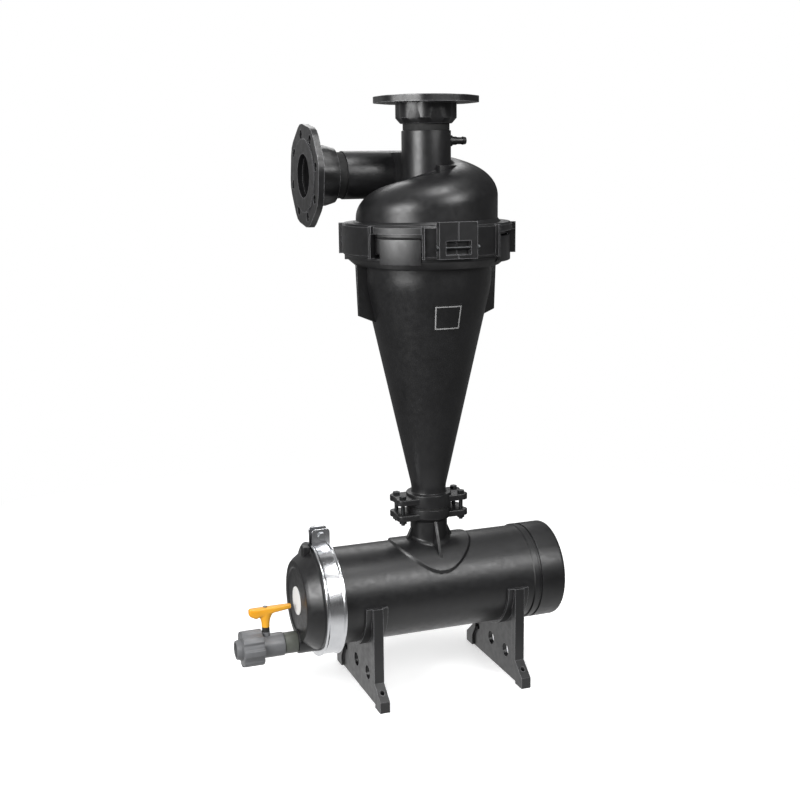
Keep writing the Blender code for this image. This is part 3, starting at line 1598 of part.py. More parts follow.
def make_gauge_tap(cyclone):
    """Barbed nipple pushed into its boss on the outlet neck, with a bore through it."""
    start = TAP_BOSS_REACH + SEAT_GAP
    length = TAP_REACH - start
    outline = [
        (TAP_BORE_RADIUS, INLET_BORE_RADIUS + SEAT_GAP),
        (TAP_SPIGOT_RADIUS, INLET_BORE_RADIUS + SEAT_GAP),
        (TAP_SPIGOT_RADIUS, start),
        (TAP_RADIUS, start),
        (TAP_RADIUS, start + length / 3),
        (TAP_RADIUS - TAP_BARB_DEPTH, start + length / 3),
        (TAP_RADIUS - TAP_BARB_DEPTH, TAP_REACH - length / 4),
        (TAP_RADIUS, TAP_REACH - length / 4),
        (TAP_RADIUS - TAP_BARB_DEPTH, TAP_REACH),
        (TAP_BORE_RADIUS, TAP_REACH),
    ]
    tap = turned("gauge_tap", outline, SMALL_FACETS, "black_nylon", along_x)
    carried(tap, cyclone, (0, 0, TAP_HEIGHT))


def drain_stations():
    """Places along the drain line, as distances from the lid's boss towards -X."""
    nipple_start = SEAT_GAP
    nipple_end = nipple_start + NIPPLE_COLLAR_LENGTH
    body_start = nipple_end + SEAT_GAP
    body_end = body_start + VALVE_BODY_LENGTH
    cavity_start = body_start + VALVE_SOCKET_DEPTH + VALVE_WEB
    seal_start = body_end + SEAT_GAP
    union_start = seal_start + UNION_SEAL_THICKNESS + SEAT_GAP
    return {
        "nipple_start": nipple_start,
        "nipple_end": nipple_end,
        "body_start": body_start,
        "body_end": body_end,
        "cavity_start": cavity_start,
        "seal_start": seal_start,
        "union_start": union_start,
        "stem": body_start + STEM_OFFSET,
    }


def drain_piece(name, outline, facets, material, parent, ring_shaped=True):
    """A turned piece of the drain line. The outline's places run from the boss to -X."""
    flipped = [(radius, -place) for radius, place in outline]
    piece = turned(name, flipped, facets, material, along_x, ring_shaped)
    return carried(piece, parent)


def make_nipple(drain):
    at = drain_stations()
    spigot = DRAIN_SOCKET_RADIUS - SEAT_GAP
    outline = [
        (DRAIN_BORE_RADIUS, at["nipple_start"] - NIPPLE_SPIGOT_LENGTH),
        (spigot, at["nipple_start"] - NIPPLE_SPIGOT_LENGTH),
        (spigot, at["nipple_start"]),
        (NIPPLE_COLLAR_RADIUS, at["nipple_start"]),
        (NIPPLE_COLLAR_RADIUS, at["nipple_end"] - NIPPLE_COLLAR_CHAMFER),
        (NIPPLE_COLLAR_RADIUS - NIPPLE_COLLAR_CHAMFER, at["nipple_end"]),
        (spigot, at["nipple_end"]),
        (spigot, at["nipple_end"] + NIPPLE_SPIGOT_LENGTH),
        (DRAIN_BORE_RADIUS, at["nipple_end"] + NIPPLE_SPIGOT_LENGTH),
    ]
    drain_piece("drain_nipple", outline, PIPE_FACETS, "olive_pvc", drain)


def make_valve_body(drain):
    """Body with a socket, a ball cavity open to the union, a thread and the stem's boss."""
    at = drain_stations()
    start, end = at["body_start"], at["body_end"]
    outline = [
        (DRAIN_SOCKET_RADIUS, start),
        (VALVE_BODY_RADIUS - VALVE_BODY_CHAMFER, start),
        (VALVE_BODY_RADIUS, start + VALVE_BODY_CHAMFER),
        (VALVE_BODY_RADIUS, end - VALVE_THREAD_LENGTH - SEAT_GAP),
        (VALVE_THREAD_RADIUS, end - VALVE_THREAD_LENGTH),
        (VALVE_THREAD_RADIUS, end),
        (VALVE_CAVITY_RADIUS, end),
        (VALVE_CAVITY_RADIUS, at["cavity_start"]),
        (DRAIN_BORE_RADIUS, at["cavity_start"]),
        (DRAIN_BORE_RADIUS, start + VALVE_SOCKET_DEPTH),
        (DRAIN_SOCKET_RADIUS, start + VALVE_SOCKET_DEPTH),
    ]
    body = drain_piece("valve_body", outline, PIPE_FACETS, "grey_pvc", drain)
    stem = (-at["stem"], 0, 0)
    boss_low = (VALVE_CAVITY_RADIUS + VALVE_BODY_RADIUS) / 2
    boss = rod(
        "boss", STEM_BOSS_RADIUS, boss_low, STEM_BOSS_TOP, PIPE_FACETS, centre=stem
    )
    carried(boss, drain)
    add(body, boss)
    hole = rod(
        "hole",
        STEM_RADIUS + SEAT_GAP,
        BALL_BORE_RADIUS,
        STEM_BOSS_TOP + CUT_OVERRUN,
        SMALL_FACETS,
        centre=stem,
    )
    carried(hole, drain)
    cut(body, hole)


def seat_ring(name, side, outer_end, drain):
    """A seat against the ball, hollowed to the ball's sphere. Side +1 is away from the lid."""
    stem = drain_stations()["stem"]
    sphere = BALL_RADIUS + BALL_CLEARANCE
    outer = VALVE_CAVITY_RADIUS - SEAT_GAP
    lip = outer - SEAT_RING_LIP
    angles = np.linspace(math.asin(lip / sphere), math.asin(DRAIN_BORE_RADIUS / sphere), 4)
    hollow = [(sphere * math.sin(a), stem + side * sphere * math.cos(a)) for a in angles]
    outline = [(outer, outer_end), (outer, hollow[0][1])] + hollow
    outline.append((DRAIN_BORE_RADIUS, outer_end))
    drain_piece(name, outline, PIPE_FACETS, "seat_plastic", drain)


def make_seats(drain):
    at = drain_stations()
    seat_ring("valve_seat_inner", -1, at["cavity_start"] + SEAT_GAP, drain)
    seat_ring("valve_seat_outer", 1, at["body_end"] - SEAT_GAP, drain)


def make_union(drain):
    """Seal, tail piece and nut of the union."""
    at = drain_stations()
    seal = at["seal_start"]
    seal_outline = [
        (UNION_SEAL_INNER, seal),
        (UNION_SEAL_OUTER, seal),
        (UNION_SEAL_OUTER, seal + UNION_SEAL_THICKNESS),
        (UNION_SEAL_INNER, seal + UNION_SEAL_THICKNESS),
    ]
    drain_piece("union_seal", seal_outline, PIPE_FACETS, "black_rubber", drain)
    start = at["union_start"]
    flange_end = start + UNION_FLANGE_LENGTH
    tail_end = flange_end + UNION_TAIL_LENGTH
    tip_end = tail_end + UNION_TIP_LENGTH
    tail_outline = [
        (UNION_BORE_RADIUS, start),
        (UNION_FLANGE_RADIUS, start),
        (UNION_FLANGE_RADIUS, flange_end),
        (UNION_TAIL_RADIUS, flange_end),
        (UNION_TAIL_RADIUS, tail_end),
        (UNION_TIP_RADIUS, tip_end),
        (UNION_SOCKET_RADIUS, tip_end),
        (UNION_SOCKET_RADIUS, tip_end - UNION_SOCKET_DEPTH),
        (UNION_BORE_RADIUS, tip_end - UNION_SOCKET_DEPTH),
    ]
    drain_piece("union_tail", tail_outline, PIPE_FACETS, "grey_pvc", drain)
    make_union_nut(drain, flange_end)


def make_union_nut(drain, flange_end):
    """Nut with finger lobes. Its inner shoulder draws the tail piece to the body."""
    at = drain_stations()
    angles = np.arange(MOULDED_FACETS) * (2 * math.pi / MOULDED_FACETS)
    side = 2 * math.pi / NUT_LOBES
    from_lobe = np.abs((angles + side / 2) % side - side / 2)
    on_lobe = from_lobe < side / 2 * NUT_LOBE_SHARE
    outer = np.where(on_lobe, NUT_LOBE_RADIUS, NUT_ROOT_RADIUS)
    low = at["body_end"] - VALVE_THREAD_LENGTH
    high = low + NUT_LENGTH
    thread = VALVE_THREAD_RADIUS + THREAD_CLEARANCE
    passage = UNION_TAIL_RADIUS + THREAD_CLEARANCE
    shoulder = flange_end + SEAT_GAP
    stations = [
        (thread, low),
        (outer - NUT_CHAMFER, low),
        (outer, low + NUT_CHAMFER),
        (outer, high - NUT_CHAMFER),
        (outer - NUT_CHAMFER, high),
        (passage, high),
        (passage, shoulder),
        (thread, shoulder),
    ]
    rings = [along_x(circle(radius, -place, MOULDED_FACETS)) for radius, place in stations]
    nut = loft("union_nut", rings, "grey_pvc", ring_shaped=True)
    carried(nut, drain)


def make_ball(lever):
    """Bored ball with a slot on top for the stem's tab."""
    half = math.sqrt(BALL_RADIUS**2 - BALL_BORE_RADIUS**2)
    start = math.asin(BALL_BORE_RADIUS / BALL_RADIUS)
    angles = np.linspace(start, math.pi - start, 9)
    outline = [(BALL_RADIUS * math.sin(a), BALL_RADIUS * math.cos(a)) for a in angles]
    outline[0] = (BALL_BORE_RADIUS, half)
    outline[-1] = (BALL_BORE_RADIUS, -half)
    ball = turned("valve_ball", outline, PIPE_FACETS, "seat_plastic", along_x)
    slot = block(
        "slot",
        (-BALL_SLOT_LENGTH / 2, -BALL_SLOT_WIDTH / 2, BALL_RADIUS - BALL_SLOT_DEPTH),
        (BALL_SLOT_LENGTH / 2, BALL_SLOT_WIDTH / 2, BALL_RADIUS + CUT_OVERRUN),
    )
    cut(ball, slot)
    carried(ball, lever)


def make_stem(lever):
    """Round stem with a flat tab in the ball's slot and a screw hole in its top."""
    shank_low = BALL_RADIUS + SEAT_GAP
    stem = rod("valve_stem", STEM_RADIUS, shank_low, STEM_TOP, SMALL_FACETS, "grey_pvc")
    tab = block(
        "tab",
        (-STEM_TAB_LENGTH / 2, -STEM_TAB_WIDTH / 2, shank_low - BALL_SLOT_DEPTH + SEAT_GAP),
        (STEM_TAB_LENGTH / 2, STEM_TAB_WIDTH / 2, shank_low + STEM_TAB_WIDTH),
    )
    limit = rod("limit", STEM_RADIUS - SEAT_GAP, 0, STEM_TOP, SMALL_FACETS)
    combine(tab, limit, "INTERSECT")
    add(stem, tab)
    hole = rod(
        "hole",
        SCREW_RADIUS + SEAT_GAP,
        STEM_TOP - SCREW_DEPTH - SCREW_RADIUS,
        STEM_TOP + CUT_OVERRUN,
        SMALL_FACETS,
    )
    cut(stem, hole)
    carried(stem, lever)


def make_gland(drain):
    """Ring that holds the stem's packing, on top of the boss."""
    at = drain_stations()
    low = STEM_BOSS_TOP + SEAT_GAP
    inner = STEM_RADIUS + SEAT_GAP
    outline = [
        (inner, low),
        (STEM_BOSS_RADIUS, low),
        (GLAND_RADIUS, low + GLAND_LENGTH),
        (inner, low + GLAND_LENGTH),
    ]
    gland = turned("stem_gland", outline, SMALL_FACETS, "black_rubber")
    carried(gland, drain, (-at["stem"], 0, 0))


def make_handle(lever):
    """Handle: a waisted hub under a bar with a long thin wing and a short deep tail."""
    hub_sections = [
        (HANDLE_BOTTOM, HANDLE_HUB_RADIUS, HANDLE_HUB_RADIUS),
        (HANDLE_WAIST, HANDLE_WAIST_REACH, HANDLE_HALF_WIDTH),
        (HANDLE_BAR_BOTTOM, HANDLE_SHOULDER_REACH, HANDLE_HALF_WIDTH),
        ((HANDLE_BAR_BOTTOM + HANDLE_TOP) / 2, HANDLE_SHOULDER_REACH, HANDLE_HALF_WIDTH),
    ]
    rings = [
        oval(reach, width, height, SMALL_FACETS) for height, reach, width in hub_sections
    ]
    handle = loft("valve_handle", rings, "yellow_plastic")
    middle_thickness = HANDLE_TOP - HANDLE_BAR_BOTTOM
    bar_sections = [
        (-HANDLE_TAIL_REACH, HANDLE_TIP_HALF_WIDTH, HANDLE_TAIL_THICKNESS),
        (-HANDLE_SHOULDER_REACH, HANDLE_HALF_WIDTH, HANDLE_TAIL_ROOT_THICKNESS),
        (HANDLE_SHOULDER_REACH, HANDLE_HALF_WIDTH, middle_thickness),
        (HANDLE_REACH, HANDLE_TIP_HALF_WIDTH, HANDLE_TIP_THICKNESS),
    ]
    bar = loft("bar", [bar_ring(*section) for section in bar_sections])
    add(handle, bar)
    socket = turned(
        "socket",
        [
            (STEM_RADIUS + SEAT_GAP, HANDLE_BOTTOM - CUT_OVERRUN),
            (STEM_RADIUS + SEAT_GAP, HANDLE_BOTTOM + HANDLE_SOCKET_DEPTH),
            (SCREW_RADIUS + SEAT_GAP, HANDLE_BOTTOM + HANDLE_SOCKET_DEPTH),
            (SCREW_RADIUS + SEAT_GAP, HANDLE_TOP + CUT_OVERRUN),
        ],
        SMALL_FACETS,
        ring_shaped=False,
    )
    cut(handle, socket)
    carried(handle, lever)
    screw = turned(
        "handle_screw",
        [
            (SCREW_RADIUS, STEM_TOP - SCREW_DEPTH),
            (SCREW_RADIUS, HANDLE_TOP + SEAT_GAP),
            (SCREW_HEAD_RADIUS, HANDLE_TOP + SEAT_GAP),
            (SCREW_HEAD_RADIUS, HANDLE_TOP + SEAT_GAP + SCREW_HEAD_HEIGHT / 2),
            (SCREW_HEAD_RADIUS / 2, HANDLE_TOP + SEAT_GAP + SCREW_HEAD_HEIGHT),
        ],
        SMALL_FACETS,
        "zinc_steel",
        ring_shaped=False,
    )
    carried(screw, lever)


def oval(reach, width, height, facets):
    """A ring of points round Z, longer along X than along Y."""
    ring = circle(1, 0, facets)
    return ring * (reach, width, 0) + (0, 0, height)


def bar_ring(x, half_width, thickness):
    """A rounded rectangle across X under the handle's top face."""
    bevel = half_width / 3
    top = HANDLE_TOP
    bottom = top - thickness
    return [
        (x, -half_width, bottom + bevel),
        (x, -half_width + bevel, bottom),
        (x, half_width - bevel, bottom),
        (x, half_width, bottom + bevel),
        (x, half_width, top - bevel),
        (x, half_width - bevel, top),
        (x, -half_width + bevel, top),
        (x, -half_width, top - bevel),
    ]


def clear_scene():
    for thing in list(bpy.data.objects):
        bpy.data.objects.remove(thing)


def centre_on_origin(root):
    """Moves the whole so that the origin is under the middle of its box."""
    bpy.context.view_layer.update()
    lows, highs = [], []
    for piece in bpy.data.objects:
        if piece.type != "MESH":
            continue
        corners = np.array([piece.matrix_world @ vertex.co for vertex in piece.data.vertices])
        lows.append(corners.min(axis=0))
        highs.append(corners.max(axis=0))
    middle = (np.min(lows, axis=0) + np.max(highs, axis=0)) / 2
    root.location = (-middle[0], -middle[1], 0)
    bpy.context.view_layer.update()


def build():
    clear_scene()
    root = empty("hydrocyclone", (0, 0, 0))
    cyclone = empty("cyclone_axis", (0, 0, 0), root)
    tank = empty("tank_axis", (0, 0, TANK_AXIS_HEIGHT), root)
    boss_end = LID_SHOULDER_X - DRAIN_BOSS_LENGTH
    drain = empty("drain_axis", (boss_end, 0, DRAIN_HEIGHT), root)
    stem = drain_stations()["stem"]
    lever = empty("lever_axis", (boss_end - stem, 0, DRAIN_HEIGHT), root)
    make_tank_shell(tank)
    make_end_cap(tank)
    make_lid(tank)
    make_lid_gasket(tank)
    bolt_height = make_band_clamp(tank)
    make_band_bolt(tank, bolt_height)
    make_saddle("saddle_left", tank, SADDLE_CENTRE_X - SADDLE_SPACING / 2)
    make_saddle("saddle_right", tank, SADDLE_CENTRE_X + SADDLE_SPACING / 2)
    make_coupling(cyclone)
    make_cone_body(cyclone)
    make_head_gasket(cyclone)
    make_clamp(cyclone)
    make_head(cyclone)
    make_vortex_finder(cyclone)
    make_gauge_tap(cyclone)
    make_flange(
        "outlet_flange",
        OUTLET_HUB_TIP,
        OUTLET_HUB_TIP_RADIUS,
        None,
        (0, 0, outlet_face_height()),
        OUTLET_FLANGE_TURN,
        cyclone,
    )
    make_flange(
        "inlet_flange",
        INLET_HUB_TIP,
        INLET_HUB_TIP_RADIUS,
        facing_left,
        (INLET_FACE_X, INLET_Y, INLET_HEIGHT),
        INLET_FLANGE_TURN,
        cyclone,
    )
    make_nipple(drain)
    make_valve_body(drain)
    make_seats(drain)
    make_union(drain)
    make_gland(drain)
    make_ball(lever)
    make_stem(lever)
    make_handle(lever)
    centre_on_origin(root)


build()
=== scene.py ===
# %% [markdown]
# # A hydrocyclone, dressed
# The solid model of this sand separator is packed already, and this lesson gives it its looks.

import json
import math

import bmesh
import bpy
import numpy as np
from mathutils import Matrix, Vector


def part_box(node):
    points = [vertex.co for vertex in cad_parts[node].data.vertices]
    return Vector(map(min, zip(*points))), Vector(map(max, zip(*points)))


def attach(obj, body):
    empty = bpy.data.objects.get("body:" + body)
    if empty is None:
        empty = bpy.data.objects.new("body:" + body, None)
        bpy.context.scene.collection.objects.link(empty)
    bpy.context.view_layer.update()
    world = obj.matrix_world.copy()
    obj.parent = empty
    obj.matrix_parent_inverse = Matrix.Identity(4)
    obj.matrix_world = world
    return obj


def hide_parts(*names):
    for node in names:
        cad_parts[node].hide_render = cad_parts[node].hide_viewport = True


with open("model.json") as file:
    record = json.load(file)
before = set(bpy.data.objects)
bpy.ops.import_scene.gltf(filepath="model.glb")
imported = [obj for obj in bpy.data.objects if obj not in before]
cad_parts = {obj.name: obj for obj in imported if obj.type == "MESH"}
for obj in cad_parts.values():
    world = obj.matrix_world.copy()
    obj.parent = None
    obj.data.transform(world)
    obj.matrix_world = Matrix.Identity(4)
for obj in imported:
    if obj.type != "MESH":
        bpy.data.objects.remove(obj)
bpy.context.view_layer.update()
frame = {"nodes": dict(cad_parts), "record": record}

# %% [markdown]
# ## Three axes
# Nearly every piece here is turned about one of three lines: the upright cyclone, the lying tank
# and the drain line. The boxes of round solids tell where these lines are, so nothing has to be
# measured by eye. Lengths below are in millimetres, and one factor turns them into metres.

# %% Find the axes
MM = 0.001


def middle_of(node):
    """The middle of a solid's box: half the sum of its two corners."""
    low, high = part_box(node)
    return np.array((low + high) / 2)


cyclone = middle_of("head_gasket")[:2]
tank = middle_of("lid_gasket")
drain = middle_of("union_seal")
stem = middle_of("valve_stem")[:2]
print("cyclone axis", cyclone.round(4), "tank joint", tank.round(4), "stem", stem.round(4))

# %% [markdown]
# ## From a grid of points to a piece
# A surface is a grid of points: one number runs along a profile and the other runs around it.
# Where the grid meets itself again its faces wrap over, and points that fall together, as at a
# pole, are merged. Doing this for whole arrays keeps the script fast.

# %% Grid faces and pieces
def quads(rows, columns, wrap_rows=False, wrap_columns=False):
    """Corner numbers of a grid's faces: point (r, c) has the number r times columns plus c."""
    r = np.arange(rows if wrap_rows else rows - 1)[:, None]
    c = np.arange(columns if wrap_columns else columns - 1)[None, :]
    below, beside = (r + 1) % rows, (c + 1) % columns
    corners = [r * columns + c, r * columns + beside, below * columns + beside]
    corners.append(below * columns + c)
    return np.stack(corners, axis=-1).reshape(-1, 4)


def tidy(mesh, sharp=32):
    """Merges points that fall together, turns all faces outwards and shades them smooth up to
    the given angle between two faces."""
    work = bmesh.new()
    work.from_mesh(mesh)
    bmesh.ops.remove_doubles(work, verts=work.verts, dist=2e-6)
    bmesh.ops.dissolve_degenerate(work, edges=work.edges, dist=1e-7)
    bmesh.ops.recalc_face_normals(work, faces=work.faces)
    work.to_mesh(mesh)
    work.free()
    mesh.shade_smooth()
    mesh.set_sharp_from_angle(angle=math.radians(sharp))


def piece(name, points, faces, sharp=32):
    """An object from points in metres and faces."""
    mesh = bpy.data.meshes.new(name)
    points = np.asarray(points, float).reshape(-1, 3)
    mesh.from_pydata(points.tolist(), [], [list(face) for face in faces])
    tidy(mesh, sharp)
    obj = bpy.data.objects.new(name, mesh)
    bpy.context.scene.collection.objects.link(obj)
    return obj


print("a ring of 4 by 6 points has", len(quads(4, 6, True, True)), "faces")

# %% [markdown]
# ## Rounded profiles
# Moulded plastic has no knife edges: its corners are rounded, and those small curves are what
# catches the light. So a profile is written as corners, each with the size of its rounding, and
# one function swaps each corner for a short curve.

# %% Rounding and turning
def rounded(outline, closed=True, steps=5):
    """Each corner p gives way to the curve (1-t)^2 a + 2t(1-t) p + t^2 b, where a and b lie on
    its two sides at the corner's own distance, or nearer if a side is short."""
    rows = np.array(outline, float)
    p, size = rows[:, :2], rows[:, 2]
    before = np.roll(p, 1, axis=0) - p
    after = np.roll(p, -1, axis=0) - p
    if not closed:
        size = np.concatenate([[0], size[1:-1], [0]])
    length_before = np.maximum(np.linalg.norm(before, axis=1), 1e-9)[:, None]
    length_after = np.maximum(np.linalg.norm(after, axis=1), 1e-9)[:, None]
    reach = np.minimum(size[:, None], 0.48 * np.minimum(length_before, length_after))
    a = (p + before / length_before * reach)[:, None]
    b = (p + after / length_after * reach)[:, None]
    t = np.linspace(0, 1, steps)[None, :, None]
    return ((1 - t) ** 2 * a + 2 * t * (1 - t) * p[:, None] + t**2 * b).reshape(-1, 2)


def swept(profile, angles, centre, along):
    """Points of a profile (radius, place) carried round an axis: radius times cosine and sine
    across the axis, and the place along it."""
    radius = profile[:, None, 0]
    place = np.broadcast_to(profile[:, None, 1], (len(profile), len(angles)))
    first, second = radius * np.cos(angles), radius * np.sin(angles)
    order = {"z": (first, second, place), "x": (place, first, second)}
    order["y"] = (first, place, second)
    return np.stack(order[along], axis=-1) * MM + np.asarray(centre, float)


def turned(name, outline, centre, along="z", around=128, steps=5, sharp=32):
    """A full turn of a closed outline of (radius, place, rounding)."""
    profile = rounded(outline, True, steps)
    angles = np.arange(around) * (2 * math.pi / around)
    points = swept(profile, angles, centre, along)
    return piece(name, points, quads(len(profile), around, True, True), sharp)


def swung(name, outline, start, end, centre, along="z", around=96, steps=5, sharp=32):
    """Part of a turn of a closed outline, from one angle to another, closed at both ends."""
    profile = rounded(outline, True, steps)
    angles = np.radians(np.linspace(start, end, around))
    points = swept(profile, angles, centre, along)
    faces = quads(len(profile), around, True, False).tolist()
    first = np.arange(len(profile)) * around
    faces += [first.tolist(), (first + around - 1).tolist()]
    return piece(name, points, faces, sharp)


print("a square with rounded corners:", rounded([(0, 0, 1), (4, 0, 1), (4, 4, 1), (0, 4, 1)]).shape)

# %% [markdown]
# ## Joining, cutting and softening
# Some pieces are one form joined to another, or a form with holes. A Boolean does that. Flat
# moulded pieces, such as the saddles, are right in the solid model but have knife edges. A copy
# of such a solid gets its loose triangles merged and flat areas joined, and a Bevel rounds it.

# %% Joining, cutting and softening
def applied(obj):
    """The object with its modifiers worked out into its mesh."""
    graph = bpy.context.evaluated_depsgraph_get()
    made = bpy.data.meshes.new_from_object(obj.evaluated_get(graph))
    obj.modifiers.clear()
    obj.data = made
    return obj


def joined(obj, tools, operation="UNION", sharp=32):
    """Joins each tool to the object, or cuts it out of it, and removes the tool."""
    for tool in tools:
        step = obj.modifiers.new("step", "BOOLEAN")
        step.operation, step.object, step.solver = operation, tool, "EXACT"
        applied(obj)
        bpy.data.objects.remove(tool)
    obj.data.shade_smooth()
    obj.data.set_sharp_from_angle(angle=math.radians(sharp))
    return obj


def softened(node, width=0.8, sharp=32):
    """A copy of a solid with its edges rounded by a Bevel of this width in millimetres."""
    mesh = frame["nodes"][node].data.copy()
    mesh.name = node + "_soft"
    mesh.materials.clear()
    work = bmesh.new()
    work.from_mesh(mesh)
    bmesh.ops.remove_doubles(work, verts=work.verts, dist=2e-6)
    edges, verts = work.edges, work.verts
    bmesh.ops.dissolve_limit(work, angle_limit=math.radians(1), edges=edges, verts=verts)
    work.to_mesh(mesh)
    work.free()
    obj = bpy.data.objects.new(node + "_soft", mesh)
    bpy.context.scene.collection.objects.link(obj)
    bevel = obj.modifiers.new("edge", "BEVEL")
    bevel.width, bevel.segments, bevel.limit_method = width * MM, 2, "ANGLE"
    bevel.angle_limit = math.radians(40)
    applied(obj)
    obj.data.shade_smooth()
    obj.data.set_sharp_from_angle(angle=math.radians(sharp))
    flat = obj.modifiers.new("flat faces stay flat", "WEIGHTED_NORMAL")
    flat.keep_sharp = True
    return applied(obj)


def solid_rod(radius, low, high, centre, along="z", around=64):
    """A plain round bar with its axis through the centre, to cut or to join with."""
    outline = [(0, low, 0), (radius, low, 0), (radius, high, 0), (0, high, 0)]
    return turned("rod", outline, centre, along, around, 2)


dressed = {}


def dress(obj, finish, body, *nodes):
    """Gives a piece its finish, rides it on its body and lets it stand for its solids."""
    obj.data.materials.clear()
    obj.data.materials.append(finish)
    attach(obj, body)
    if nodes:
        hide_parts(*nodes)
    for node in nodes:
        dressed[node] = obj.name
    return obj


print("helpers are ready")

# %% [markdown]
# ## Flat plates and merged mouldings
# Ribs, fins and ears are flat outlines given a thickness. Two helpers place such a plate and put
# several mouldings into one mesh.

# %% Plates, arcs and merged pieces
def plate(name, outline, low, high, across, edge=1.0):
    """A flat outline of two coordinates given thickness along the third axis, and bevelled."""
    flat = np.array(outline, float)
    rings = [np.insert(flat, across, level, axis=1) for level in (low, high)]
    count = len(flat)
    faces = quads(2, count, False, True).tolist()
    faces += [list(range(count))[::-1], list(range(count, 2 * count))]
    obj = piece(name, np.concatenate(rings) * MM, faces, 30)
    if edge:
        bevel = obj.modifiers.new("edge", "BEVEL")
        bevel.width, bevel.segments, bevel.limit_method = edge * MM, 3, "ANGLE"
        applied(obj)
        obj.data.shade_smooth()
        obj.data.set_sharp_from_angle(angle=math.radians(32))
    return obj


def arc(radius, start, end, steps, centre=(0, 0)):
    """Points (x, y) on an arc between two angles in degrees."""
    a = np.radians(np.linspace(start, end, steps))
    return np.stack([centre[0] + radius * np.cos(a), centre[1] + radius * np.sin(a)], -1)


def placed(obj, offset=(0, 0, 0), turn=0.0):
    """Turns a piece's points about Z by an angle in degrees, then shifts them in metres."""
    a = math.radians(turn)
    spin = np.array([[math.cos(a), -math.sin(a), 0], [math.sin(a), math.cos(a), 0], [0, 0, 1]])
    points = np.empty(len(obj.data.vertices) * 3, np.float32)
    obj.data.vertices.foreach_get("co", points)
    points = points.reshape(-1, 3) @ spin.T + np.asarray(offset, float)
    obj.data.vertices.foreach_set("co", points.ravel())
    obj.data.update()
    return obj


def merged(name, parts):
    """One object from several that overlap, as a moulding and its ribs do."""
    work = bmesh.new()
    for part in parts:
        work.from_mesh(part.data)
        bpy.data.objects.remove(part)
    mesh = bpy.data.meshes.new(name)
    work.to_mesh(mesh)
    work.free()
    mesh.shade_smooth()
    mesh.set_sharp_from_angle(angle=math.radians(32))
    obj = bpy.data.objects.new(name, mesh)
    bpy.context.scene.collection.objects.link(obj)
    return obj


print("arc of 3 points:", arc(10, 0, 90, 3).round(1).tolist())

# %% [markdown]
# ## Colours and one node helper
# Colours are written as they are on a screen, in hex, and one function turns them into the
# linear light that the renderer counts in. Every material is built with one small function that
# adds a node, sets its values and links its inputs.

# %% Colour and node helpers
def colour(hex_code):
    """sRGB to linear: c/12.92 near black, otherwise ((c + 0.055) / 1.055) to the power 2.4."""
    parts = [int(hex_code[i : i + 2], 16) / 255 for i in (1, 3, 5)]
    linear = [c / 12.92 if c <= 0.04045 else ((c + 0.055) / 1.055) ** 2.4 for c in parts]
    return (*linear, 1)


def node(tree, kind, settings=None, **inputs):
    """Adds a node, sets its properties, and fills each input with a value or a link."""
    made = tree.nodes.new(kind)
    for key, value in (settings or {}).items():
        setattr(made, key, value)
    for key, value in inputs.items():
        name = key.replace("_", " ")
        socket = made.inputs[int(name[1:])] if name[1:].isdigit() else made.inputs[name]
        if isinstance(value, bpy.types.NodeSocket):
            tree.links.new(value, socket)
        else:
            socket.default_value = value
    return made


def ramp(tree, value, stops):
    """A Color Ramp through stops of (position, colour or grey)."""
    made = node(tree, "ShaderNodeValToRGB", Fac=value)
    elements = made.color_ramp.elements
    while len(elements) < len(stops):
        elements.new(0.5)
    for element, (position, shade) in zip(elements, stops):
        element.position = position
        element.color = colour(shade) if isinstance(shade, str) else (shade, shade, shade, 1)
    return made.outputs["Color"]


def blank(name):
    """An empty material with a Principled shader: returns it, its tree and the shader."""
    material = bpy.data.materials.new(name)
    material.use_nodes = True
    return material, material.node_tree, material.node_tree.nodes["Principled BSDF"]


print("mid grey #808080 is", round(colour("#808080")[0], 3), "in linear light")

# %% [markdown]
# ## Black glass-filled nylon
# The head, cone, tank, lid, flanges and saddles are injection moulded in nylon filled with short
# glass fibres and coloured black. To the eye it is a very dark grey with a satin sheen, slightly
# orange-peeled, with faint cloudy patches where the melt flowed and a little dust. The peel is
# about 2 mm across and the fine grain is drawn at 0.8 mm, coarser than life so that it shows.
# The square edges of the clamp, flanges and saddles get a paler colour painted on them, as a painted
# highlight.

# %% Black nylon
# How far the painted edge highlight reaches from an edge, in metres.
EDGE_HIGHLIGHT_WIDTH = 0.0022


def near_edge(tree, radius):
    """1 at an edge, fading over a radius: from how far the normal of a rounded edge has turned
    away from the plain normal, by their dot product."""
    bent = node(tree, "ShaderNodeBevel", {"samples": 6}, Radius=radius).outputs["Normal"]
    plain = node(tree, "ShaderNodeNewGeometry").outputs["Normal"]
    dot = node(tree, "ShaderNodeVectorMath", {"operation": "DOT_PRODUCT"}, _0=bent, _1=plain)
    alike = dot.outputs["Value"]
    fade = node(tree, "ShaderNodeMapRange", Value=alike, From_Min=0.985, From_Max=0.86)
    return fade.outputs["Result"]


